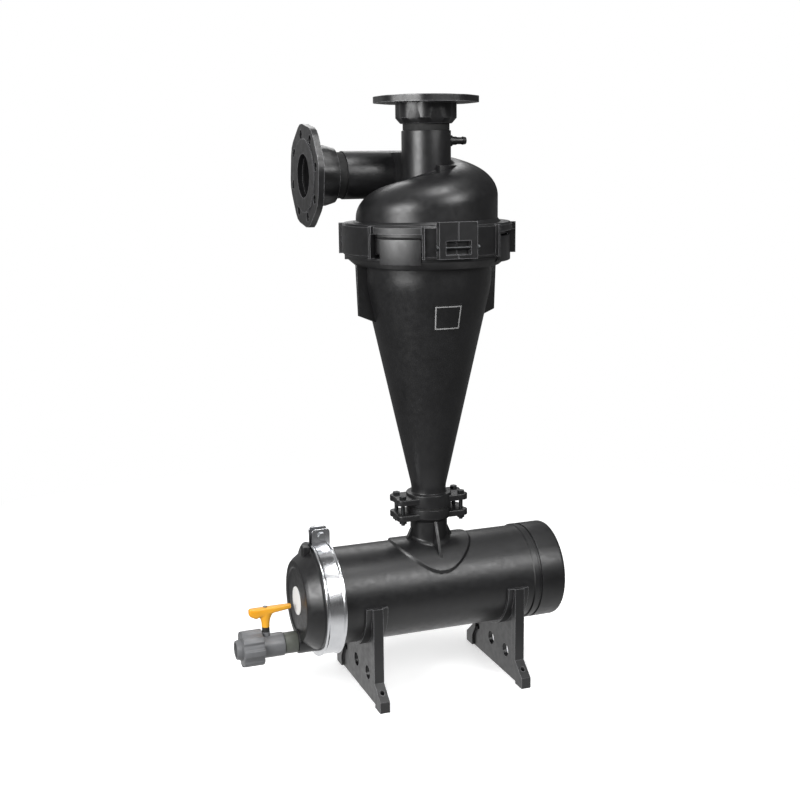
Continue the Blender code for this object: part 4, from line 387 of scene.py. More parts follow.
def moulded(name, dark, pale, roughness, peel=0.10, grain=0.06, edge_highlight=None):
    """A moulded plastic: two near colours mixed by slow clouds, a peel and a fine grain. With an
    edge highlight colour, its edges are mixed towards that colour: a painted highlight."""
    material, tree, shader = blank(name)
    place = node(tree, "ShaderNodeTexCoord").outputs["Object"]
    cloud = node(tree, "ShaderNodeTexNoise", Vector=place, Scale=14.0, Detail=5.0, Roughness=0.6)
    base = ramp(tree, cloud.outputs["Fac"], [(0.32, dark), (0.68, pale)])
    # Painted highlight: a paler colour along the edges stands in for light caught there.
    if edge_highlight:
        painted_highlight = near_edge(tree, EDGE_HIGHLIGHT_WIDTH)
        mix = node(tree, "ShaderNodeMixRGB", Fac=painted_highlight, Color1=base, Color2=colour(edge_highlight))
        base = mix.outputs["Color"]
    tree.links.new(base, shader.inputs["Base Color"])
    speck = node(tree, "ShaderNodeTexNoise", Vector=place, Scale=90.0, Detail=4.0)
    low, high = roughness - 0.06, roughness + 0.07
    rough = ramp(tree, speck.outputs["Fac"], [(0.3, low), (0.7, high)])
    tree.links.new(rough, shader.inputs["Roughness"])
    coarse = node(tree, "ShaderNodeTexNoise", Vector=place, Scale=500.0, Detail=2.0)
    fine = node(tree, "ShaderNodeTexNoise", Vector=place, Scale=1250.0, Detail=1.0)
    first = node(tree, "ShaderNodeBump", Height=coarse.outputs["Fac"], Strength=peel)
    first.inputs["Distance"].default_value = 0.0006
    second = node(tree, "ShaderNodeBump", Height=fine.outputs["Fac"], Strength=grain)
    second.inputs["Distance"].default_value = 0.0003
    tree.links.new(first.outputs["Normal"], second.inputs["Normal"])
    tree.links.new(second.outputs["Normal"], shader.inputs["Normal"])
    shader.inputs["IOR"].default_value = 1.53
    return material


black_nylon = moulded("black_nylon", "#141415", "#1E1E1F", 0.36)
# The paler edges of this nylon are a painted highlight.
highlit_edge_nylon = moulded("black_nylon.edged", "#141415", "#1E1E1F", 0.36, edge_highlight="#747476")
print("made", black_nylon.name)

# %% [markdown]
# ## The other plastics and the rubber
# The valve is grey PVC, its nipple is a more olive PVC, and the handle is amber ABS with a soft
# gloss. The disc on the lid is blank white plastic, and the ball's seats are white fluoropolymer.
# Rubber is darker and duller than nylon.

# %% Plastics and rubber
grey_pvc = moulded("grey_pvc", "#5C5D5F", "#6E6F71", 0.38, 0.06, 0.03)
olive_pvc = moulded("olive_pvc", "#4E514B", "#5E615A", 0.42, 0.06, 0.03)
yellow_plastic = moulded("yellow_plastic", "#E09A1C", "#EBAA2E", 0.33, 0.05, 0.02)
white_plastic = moulded("white_plastic", "#E6E6E4", "#F1F1EF", 0.36, 0.04, 0.02)
seat_plastic = moulded("seat_plastic", "#D9D8D2", "#E6E5E0", 0.35, 0.04, 0.02)
label_print = moulded("label_print", "#8E8E8E", "#A2A2A2", 0.45, 0.04, 0.02)
black_rubber = moulded("black_rubber", "#101010", "#171717", 0.72, 0.10, 0.10)
print("made", [m.name for m in bpy.data.materials if m.name.endswith(("pvc", "plastic", "rubber"))])

# %% [markdown]
# ## Bright and zinc-plated steel
# The band is rolled from bright stainless sheet. Rolling leaves fine lines that run round the
# band, about 0.4 mm apart here, and they stretch the reflections. The bolts are zinc plated:
# cooler, cloudier and less shiny.

# %% Steels
def steel(name, shade, pale, low, high, lines):
    """A metal whose roughness and fine lines follow a noise stretched across the band."""
    material, tree, shader = blank(name)
    place = node(tree, "ShaderNodeTexCoord").outputs["Object"]
    stretch = node(tree, "ShaderNodeMapping", Vector=place, Scale=lines)
    streak = node(tree, "ShaderNodeTexNoise", Vector=stretch.outputs["Vector"], Scale=1.0, Detail=4.0)
    cloud = node(tree, "ShaderNodeTexNoise", Vector=place, Scale=22.0, Detail=4.0)
    tint = ramp(tree, cloud.outputs["Fac"], [(0.3, shade), (0.7, pale)])
    rough = ramp(tree, streak.outputs["Fac"], [(0.3, low), (0.7, high)])
    bump = node(tree, "ShaderNodeBump", Height=streak.outputs["Fac"], Strength=0.12)
    bump.inputs["Distance"].default_value = 0.0002
    tree.links.new(tint, shader.inputs["Base Color"])
    tree.links.new(rough, shader.inputs["Roughness"])
    tree.links.new(bump.outputs["Normal"], shader.inputs["Normal"])
    shader.inputs["Metallic"].default_value = 1.0
    return material


bright_steel = steel("bright_steel", "#C9CACD", "#DADBDD", 0.16, 0.26, (2400, 60, 60))
zinc_steel = steel("zinc_steel", "#9EA1A3", "#B7B9BA", 0.30, 0.45, (300, 300, 300))
plastics = (black_nylon, grey_pvc, olive_pvc, yellow_plastic, white_plastic, seat_plastic)
finishes = {m.name.split(".")[0]: m for m in (*plastics, black_rubber, bright_steel, zinc_steel)}
dark_zinc = steel("zinc_steel.dark", "#3C3D3E", "#4C4D4E", 0.40, 0.52, (300, 300, 300))
print("finishes:", sorted(finishes))

# %% [markdown]
# ## The head and its falling roof
# The head is the part that makes this machine work. Water enters along the pipe at the back,
# runs round under the roof, and the roof falls evenly with it like a helix, so that after one
# turn the stream passes under the pipe it came in by. The form is one grid: one number is the
# angle round the axis, the other runs from the neck over a shoulder shaped as a quarter of an
# ellipse and down the wall. Only the last few degrees climb back, hidden beside the inlet pipe.

# %% Roof and wall as functions of the angle
ROOF, FALL, SHOULDER, WALL, FLAT = 1062.0, 84.0, 60.0, 136.0, 56.0
PIPE_Y, PIPE_Z, PIPE_R, BORE_R = 107.0, 1015.0, 46.5, 41.8
CLIMB, BULGE_END = 18.0, 110.0
LOWEST = 360.0 - CLIMB


def roof_and_wall(degrees):
    """Roof height: it falls with the run from the inlet, and climbs back in the last 18 degrees
    by a smooth step 3t^2 - 2t^3. Wall radius: the plain radius plus a bulge that fades with the
    square of what is left of the first 110 degrees, which is returned as the third value."""
    run = (90.0 - degrees) % 360.0
    climb = np.clip((run - LOWEST) / CLIMB, 0, 1)
    climb = climb**2 * (3 - 2 * climb)
    fall = np.where(run < LOWEST, run / 360.0, LOWEST / 360.0 * (1 - climb)) * FALL
    bulge = PIPE_Y + PIPE_R + 0.6 - WALL
    spread = np.clip(1 - run / BULGE_END, 0, 1) ** 2
    return ROOF - fall, WALL + bulge * spread, spread


def head_form(name, inset, foot, around=240):
    """The head's outer form, or with an inset its hollow. Over the shoulder, at a swing s from
    0 to 90 degrees, the radius is flat + (wall - flat) sin s and the height is roof - depth
    (1 - cos s). Outside, a quarter round of 10 leads from the neck to the roof: at an angle t
    the radius is 45 + 10 (1 - cos t) and the lift 10 (1 - sin t). Inside the neck the form is
    closed at the roof's mean height. The foot's stations follow below the wall."""
    degrees = np.arange(around) * (360.0 / around)
    roof, wall, spread = roof_and_wall(degrees)
    roof, wall = roof - inset, wall - inset
    flat = FLAT + 50.0 * spread - inset
    swing = np.radians(np.linspace(0, 90, 22))[:, None]
    radius = flat + (wall - flat) * np.sin(swing)
    depth = np.minimum(SHOULDER - 11.0 * spread, roof - foot[0][1] - 2.0)
    height = roof - depth * (1 - np.cos(swing))
    share = np.linspace(0.15, 0.9, 5)[:, None]
    low_radius = wall + (WALL - inset - wall) * share
    low_height = (roof - depth) + (foot[0][1] - roof + depth) * share
    rows_r = [np.full((1, around), 0.0), np.full((1, around), 30.0)]
    rows_z = [np.full((1, around), roof.mean()), np.full((1, around), roof.mean())]
    if inset == 0:
        t = np.radians(np.linspace(0, 84, 8))[:, None]
        rows_r.append(45.0 + 10.0 * (1 - np.cos(t)) + np.zeros((1, around)))
        rows_z.append(roof + 10.0 * (1 - np.sin(t)))
    rows_r += [radius, low_radius]
    rows_z += [height, low_height]
    for r, z in foot + [(0.0, foot[-1][1])]:
        rows_r.append(np.full((1, around), r))
        rows_z.append(np.full((1, around), z))
    r, z = np.vstack(rows_r), np.vstack(rows_z)
    a = np.radians(degrees)
    points = np.stack([r * np.cos(a), r * np.sin(a), z], axis=-1) * MM
    points += (cyclone[0], cyclone[1], 0)
    return piece(name, points, quads(len(r), around, False, True))


upright = (cyclone[0], cyclone[1], 0)
pipe_line = (cyclone[0], cyclone[1] + PIPE_Y * MM, PIPE_Z * MM)
print("roof at 90, 0, -90 and -180 degrees:", roof_and_wall(np.array([90.0, 0, -90, -180]))[0])

# %% Join pipe and neck to the head, then hollow it
foot = [(139.5, 929.3), (141.5, 927.3), (141.5, 919.7), (154, 919.7), (154, 906.0)]
head = head_form("head", 0.0, foot)
neck_outline = [(0, 960, 0), (47, 960, 0), (47, 1097, 1.2), (44.0, 1097, 0.6), (44.0, 1110, 0)]
neck_outline += [(45.8, 1110, 0), (45.8, 1148.2, 0.5), (0, 1148.2, 0)]
pipe_outline = [(0, 3, 0), (PIPE_R, 3, 2), (PIPE_R, -136, 1.2), (44.0, -136, 0.6), (44.0, -154, 0)]
pipe_outline += [(45.8, -154, 0), (45.8, -199.2, 0.5), (0, -199.2, 0)]
neck = turned("neck", neck_outline, upright, "z", 120)
pipe = turned("pipe", pipe_outline, pipe_line, "x", 120)
tap_line = (cyclone[0], cyclone[1], 1078 * MM)
boss = solid_rod(10.5, 41.0, 52.0, tap_line, "x", 48)
web_outline = [(-40, 0), (-34, 0), (-34, 107), (-40, 107)]
web = placed(plate("web", web_outline, 972.0, 1058.0, 2, 1.2), upright)
ledge_outline = [(44.4, 978, 0), (60, 978, 0), (60, 1032.5, 1.5), (44.4, 1032.5, 0)]
ledge = swung("ledge", ledge_outline, -86.5, -24.0, upright, "z", 40)
joined(head, [neck, pipe, boss, web, ledge])
hollow = head_form("hollow", 6.0, [(130.0, 927.3), (130.0, 899.0)])
neck_bore = solid_rod(BORE_R, 950.0, 1160.0, upright, "z", 96)
pipe_bore = solid_rod(BORE_R, -210.0, -1.0, pipe_line, "x", 96)
tap_bore = solid_rod(5.3, 38.0, 60.0, tap_line, "x", 32)
joined(head, [hollow, neck_bore, pipe_bore, tap_bore], "DIFFERENCE")
dress(head, black_nylon, "housing", "head_casting")
# These two dark rings are painted shade: they fill the grooves by the flanges, where shade falls.
for name, low, high, centre, along in (
    ("neck_groove_shade", 1097.2, 1109.8, upright, "z"), ("pipe_groove_shade", -153.8, -136.2, pipe_line, "x"),
):
    groove_shade_outline = [(43.8, low, 0), (44.4, low, 0.2), (44.4, high, 0.2), (43.8, high, 0)]
    dress(turned(name, groove_shade_outline, centre, along, 96), black_rubber, "housing")
print("head:", len(head.data.polygons), "faces")

# %% [markdown]
# ## The cone
# Below the clamp a short barrel runs into a long taper, and a coupling ring closes it. It is a
# turned profile, outside and inside in one closed outline. Two flat fins stand on the sides and
# four lugs reach up into the clamp's windows. The label's place on the front is a blank plate.

# %% The coupling's plate
BOLT_X, BOLT_Y, LOBE_R, HOLE_R = 62, 19, 13, 4.3


def ear_plate(name, low, high):
    """The coupling's plate: four round lobes over the bolts, drawn in to a waist."""
    lobes = []
    for x, y, start, end in ((1, -1, -100, 35), (1, 1, -35, 100), (-1, 1, 80, 215), (-1, -1, 145, 280)):
        lobes.append(arc(LOBE_R, start, end, 12, (x * BOLT_X, y * BOLT_Y)))
    obj = placed(plate(name, np.concatenate(lobes), low, high, 2, 1.6), upright)
    drills = []
    for x in (-BOLT_X, BOLT_X):
        for y in (-BOLT_Y, BOLT_Y):
            axis = (cyclone[0] + x * MM, cyclone[1] + y * MM, 0)
            drills.append(solid_rod(HOLE_R, low - 3, high + 3, axis, "z", 24))
    return joined(obj, drills, "DIFFERENCE")


print("the coupling's plate has four lobes")

# %% Turn the cone
cone_outline = [
    (20, 366, 0.4), (45, 366, 1.5), (45, 392, 1.8), (34.5, 392, 2), (34.5, 405, 6), (124, 810, 14),
    (124, 846, 3), (139, 846, 2), (156, 861, 2), (156, 866.7, 0.8), (141.5, 866.7, 0.3),
    (141.5, 874.3, 0.3), (154, 874.3, 0.5), (154, 903, 0.5), (130, 903, 0.5), (130, 876, 2),
    (118.5, 846, 2), (118.5, 810, 8), (29, 405, 3), (20, 392, 2),
]
cone_wall = turned("cone_wall", cone_outline, upright, "z", 144)
parts = [cone_wall]
for side in (-1, 1):
    outline = [(side * 108, 850), (side * 145, 850), (side * 141.5, 752), (side * 108, 738)]
    parts.append(placed(plate("fin", outline, -4, 4, 1, 1.4), upright))
for window in (-131.7, -41.7, 48.3, 138.3):
    outline = [(136, 855, 0.5), (160, 855, 1.5), (160, 903, 1.5), (136, 903, 0.5)]
    parts.append(swung("lug", outline, window - 12.3, window + 16.3, upright, "z", 24))
parts.append(ear_plate("upper_ears", 374.2, 386.2))
cone = dress(merged("cone", parts), black_nylon, "housing", "cone_body")


THROAT_R, TAPER_GAIN, TAPER_FOOT, TAPER_RISE = 34.5, 89.5, 405, 405


def on_cone(name, low, high, start, end, proud, finish):
    """A patch that lies on the taper. Its radius at height z is the throat's, plus the taper's
    gain times the share of the rise that z has reached."""
    below, above = (THROAT_R + TAPER_GAIN * (z - TAPER_FOOT) / TAPER_RISE for z in (low, high))
    outline = [(below - 0.5, low, 0), (below + proud, low, 0.25)]
    outline += [(above + proud, high, 0.25), (above - 0.5, high, 0)]
    return dress(swung(name, outline, start, end, upright, "z", 40), finish, "housing")


on_cone("label", 729, 779, -105.7, -77.0, 0.7, black_nylon)
for name, low, high, start, end in (
    ("label_top", 773.8, 776.0, -104.2, -78.5), ("label_foot", 732.0, 734.2, -104.2, -78.5),
    ("label_left", 734.2, 773.8, -104.2, -103.05), ("label_right", 734.2, 773.8, -79.65, -78.5),
):
    on_cone(name, low, high, start, end, 0.95, label_print)
print("cone:", len(cone.data.polygons), "faces")

# %% [markdown]
# ## The tank
# The tank is a tube with a thicker pad wrapped round it where the neck stands. Both are one
# surface: the tube's radius grows by the pad's height inside a circle seen from above, with a
# soft edge, so the pad's outline bends over the tube as it does on the moulding.

# %% Tank tube with its wrapped pad
TANK_R, PAD_HEIGHT, PAD_R, PAD_EDGE, TANK_STEPS = 95.0, 4.5, 82.0, 3.0, 300


def tank_surface():
    """Radius over the place x along the tank and the angle t from the top: the tube's, plus the
    pad's height times a smooth step of how far the point (x, y) lies inside the pad's circle."""
    near = np.linspace(-92, 92, 150)
    x = np.concatenate([np.linspace(-209, -96, 14), near, np.linspace(96, 186, 10)])
    t = np.linspace(-math.pi, math.pi, TANK_STEPS, endpoint=False)
    xx, tt = np.meshgrid(x, t, indexing="ij")
    inside = (PAD_R - np.hypot(xx, TANK_R * np.sin(tt))) / PAD_EDGE
    step = np.clip(inside + 0.5, 0, 1) * (np.cos(tt) > 0)
    radius = TANK_R + PAD_HEIGHT * step**2 * (3 - 2 * step)
    return xx, radius, tt


lying = (cyclone[0], tank[1], tank[2])
xx, radius, tt = tank_surface()
ends = [(104, -228.7), (104, -217.0), (99.5, -213.0), (95, -209.2)]
tail = [(95, 188), (95, 191), (97.5, 193), (97.5, 203), (95, 205), (95, 208.7)]
inner = [(92, 208.7), (92, 253.5), (87, 253.5), (87, -228.7)]
rows_x = [np.full((1, TANK_STEPS), x) for r, x in ends] + [xx]
rows_r = [np.full((1, TANK_STEPS), r) for r, x in ends] + [radius]
for r, x in tail + inner:
    rows_x.append(np.full((1, TANK_STEPS), x))
    rows_r.append(np.full((1, TANK_STEPS), r))
xx, radius = np.vstack(rows_x), np.vstack(rows_r)
angle = np.broadcast_to(tt[:1], xx.shape)
tube_points = np.stack([xx, radius * np.sin(angle), radius * np.cos(angle)], -1) * MM + lying
tube = piece("tube", tube_points, quads(len(xx), TANK_STEPS, True, True), 28)
print("tank tube:", len(tube.data.polygons), "faces")

# %% Neck, fillet, gussets and ears
def neck_fillet(radius, size, top, around=120):
    """A quarter round between the neck and the pad. At the angle a about the neck its foot lies
    on the pad's cylinder, whose height at the distance y is the root of top^2 - y^2."""
    a = np.arange(around) * (2 * math.pi / around)
    t = np.radians(np.linspace(0, 90, 10))[:, None]
    r = radius + size * (1 - np.sin(t)) - 0.6
    lift = size * (1 - np.cos(t)) - 0.3
    z = np.sqrt(top**2 - (r * np.sin(a)) ** 2) + lift
    outer = np.stack([r * np.cos(a), r * np.sin(a), z], -1)
    deep = np.stack([(radius - 3) * np.cos(a), (radius - 3) * np.sin(a), z.min(0) - 4], -1)
    points = np.concatenate([outer, deep[None]]) * MM + lying
    return piece("neck_fillet", points, quads(len(points), around, True, True))


base = tank[2] / MM
neck_outline = [(28, 70, 0), (37, 70, 0), (37, 336 - base, 2), (45, 344 - base, 1.5)]
neck_outline += [(45, 362 - base, 1), (28, 362 - base, 0.5)]
tank_parts = [tube, turned("tank_neck", neck_outline, lying, "z", 96), neck_fillet(37, 9, 99.5)]
for angle_deg, top, reach, low in (
    (90, 339, 70, 266), (-90, 339, 70, 266), (0, 320, 52, 292), (180, 320, 52, 292),
):
    outline = [(32, top), (38.7, top), (reach, low), (32, low - 7)]
    web = placed(plate("gusset", outline, -3.5, 3.5, 1, 1.2), (0, 0, 0), angle_deg)
    tank_parts.append(placed(web, upright))
tank_parts.append(ear_plate("lower_ears", 342.0, 354.0))
shell = dress(merged("tank", tank_parts), black_nylon, "housing", "tank_shell")
print("tank:", len(shell.data.polygons), "faces")

# %% [markdown]
# ## End cap and lid
# The cap is a cup glued over the tube's closed end. The lid is stepped: a shoulder beside the
# band, a tapering flank, a flat face with a shallow recess, and a boss for the drain low on it.

# %% End cap
cap_outline = [
    (0, 253.8, 0), (92.3, 253.8, 0.5), (92.3, 209, 0.3), (97.5, 209, 0.9), (97.5, 262, 8), (0, 262, 0),
]
cap = turned("end_cap", cap_outline, lying, "x", 144, 8)
dress(cap, black_nylon, "housing", "tank_end_cap")
print("end cap:", len(cap.data.polygons), "faces")

# %% Lid with its boss and lug
lid_outline = [
    (0, -278, 0), (64, -278, 0.6), (66, -280, 0.8), (78, -280, 1.6), (84, -274, 2.5), (99, -252, 3.0),
    (99.5, -247, 1.0), (104, -243, 0.8), (104, -231.3, 0.5), (87, -231.3, 0.5), (87, -252, 2),
    (72, -272, 2), (0, -272, 0),
]
lid = turned("lid_wall", lid_outline, lying, "x", 160, 6)
drain_line = (cyclone[0], drain[1], drain[2])
boss_outline = [(0, -281.5, 0), (24, -281.5, 1.8), (24, -250, 0), (0, -250, 0)]
boss = turned("drain_boss", boss_outline, drain_line, "x", 72)
lug = placed(plate("lug", [(-266, 78), (-252, 78), (-252, 110), (-266, 110)], -9, 9, 1, 2.0), lying)
joined(lid, [boss, lug])
socket = solid_rod(16, -286, -268.5, drain_line, "x", 64)
drain_bore = solid_rod(12, -270, -240, drain_line, "x", 64)
hollow_outline = [(0, -272, 0), (72, -272, 2), (87, -252, 2), (87, -236, 0), (0, -236, 0)]
hollow = turned("hollow", hollow_outline, lying, "x", 96)
joined(lid, [socket, drain_bore, hollow], "DIFFERENCE")
dress(lid, black_nylon, "housing", "lid")
disc_outline = [(0, -279.8, 0), (28, -279.8, 0.6), (28, -278.3, 0), (0, -278.3, 0)]
dress(turned("disc", disc_outline, lying, "x", 96), white_plastic, "housing", "lid_disc")
print("lid:", len(lid.data.polygons), "faces")

# %% [markdown]
# ## Band clamp
# The band is bent from sheet with a rolled rim on each edge, and it stops on top between two
# ears that the bolt draws together. It is one profile swung round the tank, short of the gap.

# %% Band
BAND_R, HALF_GAP, EAR_THICKNESS = 109.4, 9.0, 3.0
band_outline = [
    (99.9, 20, 0.6), (111.9, 20, 1.6), (111.9, 16, 1.2), (109.4, 13.5, 1.2), (109.4, -13.5, 1.2),
    (111.9, -16, 1.2), (111.9, -20, 1.6), (99.9, -20, 0.6), (99.9, -17.5, 0.4), (104.4, -13.4, 0.4),
    (104.4, 13.4, 0.4), (99.9, 17.5, 0.4),
]
joint_x = (tank[0] - cyclone[0]) / MM
band_profile = [(r, x + joint_x, size) for r, x, size in band_outline]
gap = math.degrees(math.asin(HALF_GAP / BAND_R))
band = swung("band_wall", band_profile, 90 + gap, 450 - gap, lying, "x", 180)
band_parts = [band]
for side in (-1, 1):
    corner = arc(7, 0, 90, 8, (joint_x + 11, 136.4)).tolist()
    other = arc(7, 90, 180, 8, (joint_x - 11, 136.4)).tolist()
    outline = [(joint_x - 18, 107), (joint_x + 18, 107)] + corner + other
    low, high = sorted((side * HALF_GAP, side * (HALF_GAP + EAR_THICKNESS)))
    band_parts.append(placed(plate("ear", outline, low, high, 1, 0.7), lying))
band = dress(merged("band", band_parts), bright_steel, "housing", "band_clamp")
print("band:", len(band.data.polygons), "faces")

# %% [markdown]
# ## Drain valve
# A nipple, a ball valve and a union follow each other on one level line. The union nut has
# eight finger lobes: its radius changes round the turn like a rounded square wave.

# %% Nipple, valve body, union
def along_drain(name, outline, around=96):
    """Turned about the drain line, with places counted along X from the cyclone's axis."""
    return turned(name, outline, drain_line, "x", around)


def ends_along_drain(node):
    """Where a solid starts, at the lid's side, and where it ends, both along the drain line."""
    low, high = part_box(node)
    return high[0] / MM - cyclone[0] / MM, low[0] / MM - cyclone[0] / MM


nipple = along_drain("nipple", [
    (12, -271, 0.3), (15.7, -271, 0.8), (15.7, -281.8, 0.2), (21, -281.8, 1.2), (21, -308.8, 2.2),
    (15.7, -308.8, 0.2), (15.7, -319.8, 0.8), (12, -319.8, 0.3),
])
dress(nipple, olive_pvc, "housing", "drain_nipple")
body_start, body_end = ends_along_drain("valve_body")
body = along_drain("body", [
    (16, body_start, 0.5), (23, body_start, 1.8), (23, body_end + 20.3, 1), (26.2, body_end + 20, 0.6),
    (26.2, body_end, 0.8), (18, body_end, 0.5), (18, body_start - 15.5, 0.5),
    (12, body_start - 15.5, 0.3), (12, body_start - 11.5, 0.3), (16, body_start - 11.5, 0.5),
])
stem_line = (stem[0], stem[1], drain[2])
boss = turned("stem_boss", [(0, 20, 0), (8, 20, 0), (8, 30, 0.8), (0, 30, 0)], stem_line, "z", 48)
joined(body, [boss])
joined(body, [solid_rod(5.8, 10, 40, stem_line, "z", 32)], "DIFFERENCE")
dress(body, grey_pvc, "housing", "valve_body")
print("valve body from", round(body_start, 1), "to", round(body_end, 1))

# %% Union nut with finger lobes
def lobed(angles, root, lobe, count, width, soft):
    """Root radius plus a smooth step up to the lobe radius where the angle lies within the
    lobe's width: the step is 1 / (1 + exp(-(width - |a|) / soft)) of the angle a from a lobe."""
    pitch = 2 * math.pi / count
    a = np.abs((angles + pitch / 2) % pitch - pitch / 2)
    return root + (lobe - root) / (1 + np.exp(-(width - a) / soft))


NUT_ROOT_R, NUT_LOBE_R, NUT_LOBES = 32.0, 36.0, 8
NUT_OVERLAP, NUT_LENGTH = 20.0, 41.5


def union_nut(around=240):
    """Rings of the lobed radius along the nut, drawn in at both ends, and the plain bore."""
    a = np.arange(around) * (2 * math.pi / around)
    outer = lobed(a, NUT_ROOT_R, NUT_LOBE_R, NUT_LOBES, 0.21, 0.018)
    low = body_end + NUT_OVERLAP
    high = low - NUT_LENGTH
    stations = [(26.6, low), (outer - 3.2, low), (outer - 1.0, low - 0.9), (outer, low - 3.2)]
    stations += [(outer, high + 3.2), (outer - 1.0, high + 0.9), (outer - 3.2, high), (21.1, high)]
    stations += [(21.1, high + 14.2), (26.6, high + 14.2)]
    rings = []
    for r, x in stations:
        r = np.broadcast_to(r, a.shape)
        rings.append(np.stack([np.full(around, x), r * np.cos(a), r * np.sin(a)], -1))
    return piece("nut", np.array(rings) * MM + drain_line, quads(len(rings), around, True, True), 35)


dress(union_nut(), grey_pvc, "housing", "union_nut")
start, tip = ends_along_drain("union_tail")
tail = along_drain("tail", [
    (13.5, start, 0.3), (25.5, start, 0.6), (25.5, start - 4.5, 0.6), (20.7, start - 4.5, 0.5),
    (20.7, tip + 10.5, 1.5), (18, tip, 1.2), (14.5, tip, 0.8), (14.5, tip + 19, 0.5),
    (13.5, tip + 19, 0.3),
])
dress(tail, grey_pvc, "housing", "union_tail")
print("union tail from", round(start, 1), "to", round(tip, 1))

# %% [markdown]
# ## Handle
# The handle is one amber moulding: a waisted hub under a bar with a long thin wing and a short
# deep tail. Each cross section of the bar is a rounded rectangle whose size changes along it.

# %% Handle
def squircle(a, wide, tall):
    """A rounded rectangle: |cos| and |sin| to the power 0.55, with their signs."""
    c, s = np.cos(a), np.sin(a)
    return wide * np.sign(c) * np.abs(c) ** 0.55, tall * np.sign(s) * np.abs(s) ** 0.55


def handle_bar(wing=52.0, tail=33.0, top=80.0, around=40):
    """Sections along x under a level top. The wing thins from 12 to 8.5. The tail is 14 thick at
    its tip and 21 where it meets the hub. The last 4 at each end draw in to close it round."""
    back, front = np.linspace(-tail, -tail + 4, 8), np.linspace(wing - 4, wing, 8)
    x = np.concatenate([back, np.linspace(-tail + 6, wing - 6, 40), front])
    depth = np.interp(x, [-tail, -20, 20, wing], [14.0, 21.0, 12.0, 8.5])
    half = np.interp(x, [-tail, -20, 20, wing], [6.0, 8.0, 8.0, 6.0])
    into = np.maximum((x - wing + 4) / 4.0, (4 - tail - x) / 4.0)
    tip = np.sqrt(np.clip(1 - np.clip(into, 0, 1) ** 2, 0, 1))
    thick, wide = depth * (0.35 + 0.65 * tip), half * (0.25 + 0.75 * tip)
    middle = top - depth / 2
    a = np.arange(around) * (2 * math.pi / around)
    y, z = squircle(a[None, :], wide[:, None], thick[:, None] / 2)
    grid = np.stack([np.broadcast_to(x[:, None], y.shape), y, z + middle[:, None]], -1)
    faces = quads(len(x), around, False, True).tolist()
    faces += [list(range(around))[::-1], list(range((len(x) - 1) * around, len(x) * around))]
    return piece("bar", grid * MM + stem_line, faces, 35)


def handle_hub(around=48):
    """Ovals up the hub: half lengths 7.8 to 20 on a smooth curve, and a half width of 7.9."""
    z = np.linspace(40.5, 76.0, 20)
    share = np.clip((z - 44) / (72 - 44), 0, 1)
    long = 7.8 + 12.2 * share**2.2
    wide = np.full_like(z, 7.9)
    a = np.arange(around) * (2 * math.pi / around)
    x, y = long[:, None] * np.cos(a), wide[:, None] * np.sin(a)
    grid = np.stack([x, y, np.broadcast_to(z[:, None], x.shape)], -1)
    faces = quads(len(z), around, False, True).tolist()
    faces += [list(range(around))[::-1], list(range((len(z) - 1) * around, len(z) * around))]
    return piece("hub", grid * MM + stem_line, faces, 35)


handle = joined(handle_bar(), [handle_hub()], "UNION", 40)
dress(handle, yellow_plastic, "valve_lever", "valve_handle")
print("handle:", len(handle.data.polygons), "faces")

# %% [markdown]
# ## Pieces that only need soft edges
# The clamp halves, flanges, saddles and small fittings are right in the solid model. They get
# rounded edges, and every other solid that still shows its CAD mesh gets its finish.

# %% Soften the rest
slots = {row["node"]: row.get("material_slot") for row in frame["record"]["subparts"]}
widths = {
    "clamp_half_left": 1.2, "clamp_half_right": 1.2, "inlet_flange": 1.0, "outlet_flange": 1.0,
    "saddle_left": 1.2, "saddle_right": 1.2, "gauge_tap": 0.4, "stem_gland": 0.4,
    "band_trunnion": 0.5, "band_bolt": 0.3, "clamp_bolt_front": 0.3, "clamp_bolt_back": 0.3,
}
for number in range(1, 5):
    widths[f"coupling_bolt_{number}"] = 0.35
for name in ("clamp_nut_front", "clamp_nut_back"):
    widths[name] = 0.3
looks = {name: finishes[slot] for name, slot in slots.items()}
for name in looks:
    if name.startswith(("clamp_bolt", "clamp_nut", "coupling_bolt", "coupling_nut")):
        looks[name] = dark_zinc
    # Clamp halves, saddles and flanges take the nylon with a painted highlight along its edges.
    if name.startswith(("clamp_half", "saddle")) or name.endswith("_flange"):
        looks[name] = highlit_edge_nylon
for name, width in widths.items():
    dress(softened(name, width), looks[name], "housing", name)
for name, obj in frame["nodes"].items():
    finish = looks[name]
    if not obj.data.materials:
        obj.data.materials.append(finish)
    for index in range(len(obj.data.materials)):
        obj.data.materials[index] = finish
print("softened", len(widths), "solids; CAD meshes still shown:", len(frame["nodes"]) - len(dressed))

# %% [markdown]
# ## Camera
# The camera stands where the photograph was taken from. Its place was worked out from flanges,
# rims and feet whose real sizes are known: a little to the left, a little above, 54.5 mm lens.

# %% Camera
TURN, TILT, ROLL = 20.253, 11.343, -0.655
CAMERA_X, CAMERA_Y, CAMERA_Z = -0.8637, -2.1817, 1.0486
LENS, SENSOR = 54.51, 36.0
turn, tilt, roll = math.radians(TURN), math.radians(TILT), math.radians(ROLL)
level = math.cos(tilt)
forward = np.array([math.sin(turn) * level, math.cos(turn) * level, -math.sin(tilt)])
right = np.array([math.cos(turn), -math.sin(turn), 0.0])
up = np.cross(right, forward)
rolled_right = right * math.cos(roll) + up * math.sin(roll)
rolled_up = up * math.cos(roll) - right * math.sin(roll)
lens = bpy.data.cameras.new("camera")
lens.lens, lens.sensor_width = LENS, SENSOR
lens.clip_start, lens.clip_end = 0.05, 60.0
camera = bpy.data.objects.new("camera", lens)
bpy.context.scene.collection.objects.link(camera)
matrix = np.eye(4)
matrix[:3, :3] = np.stack([rolled_right, rolled_up, -forward], axis=1)
matrix[:3, 3] = np.array([CAMERA_X + cyclone[0], CAMERA_Y + cyclone[1], CAMERA_Z])
camera.matrix_world = Matrix(matrix.tolist())
bpy.context.scene.camera = camera
print("camera at", matrix[:3, 3].round(3))

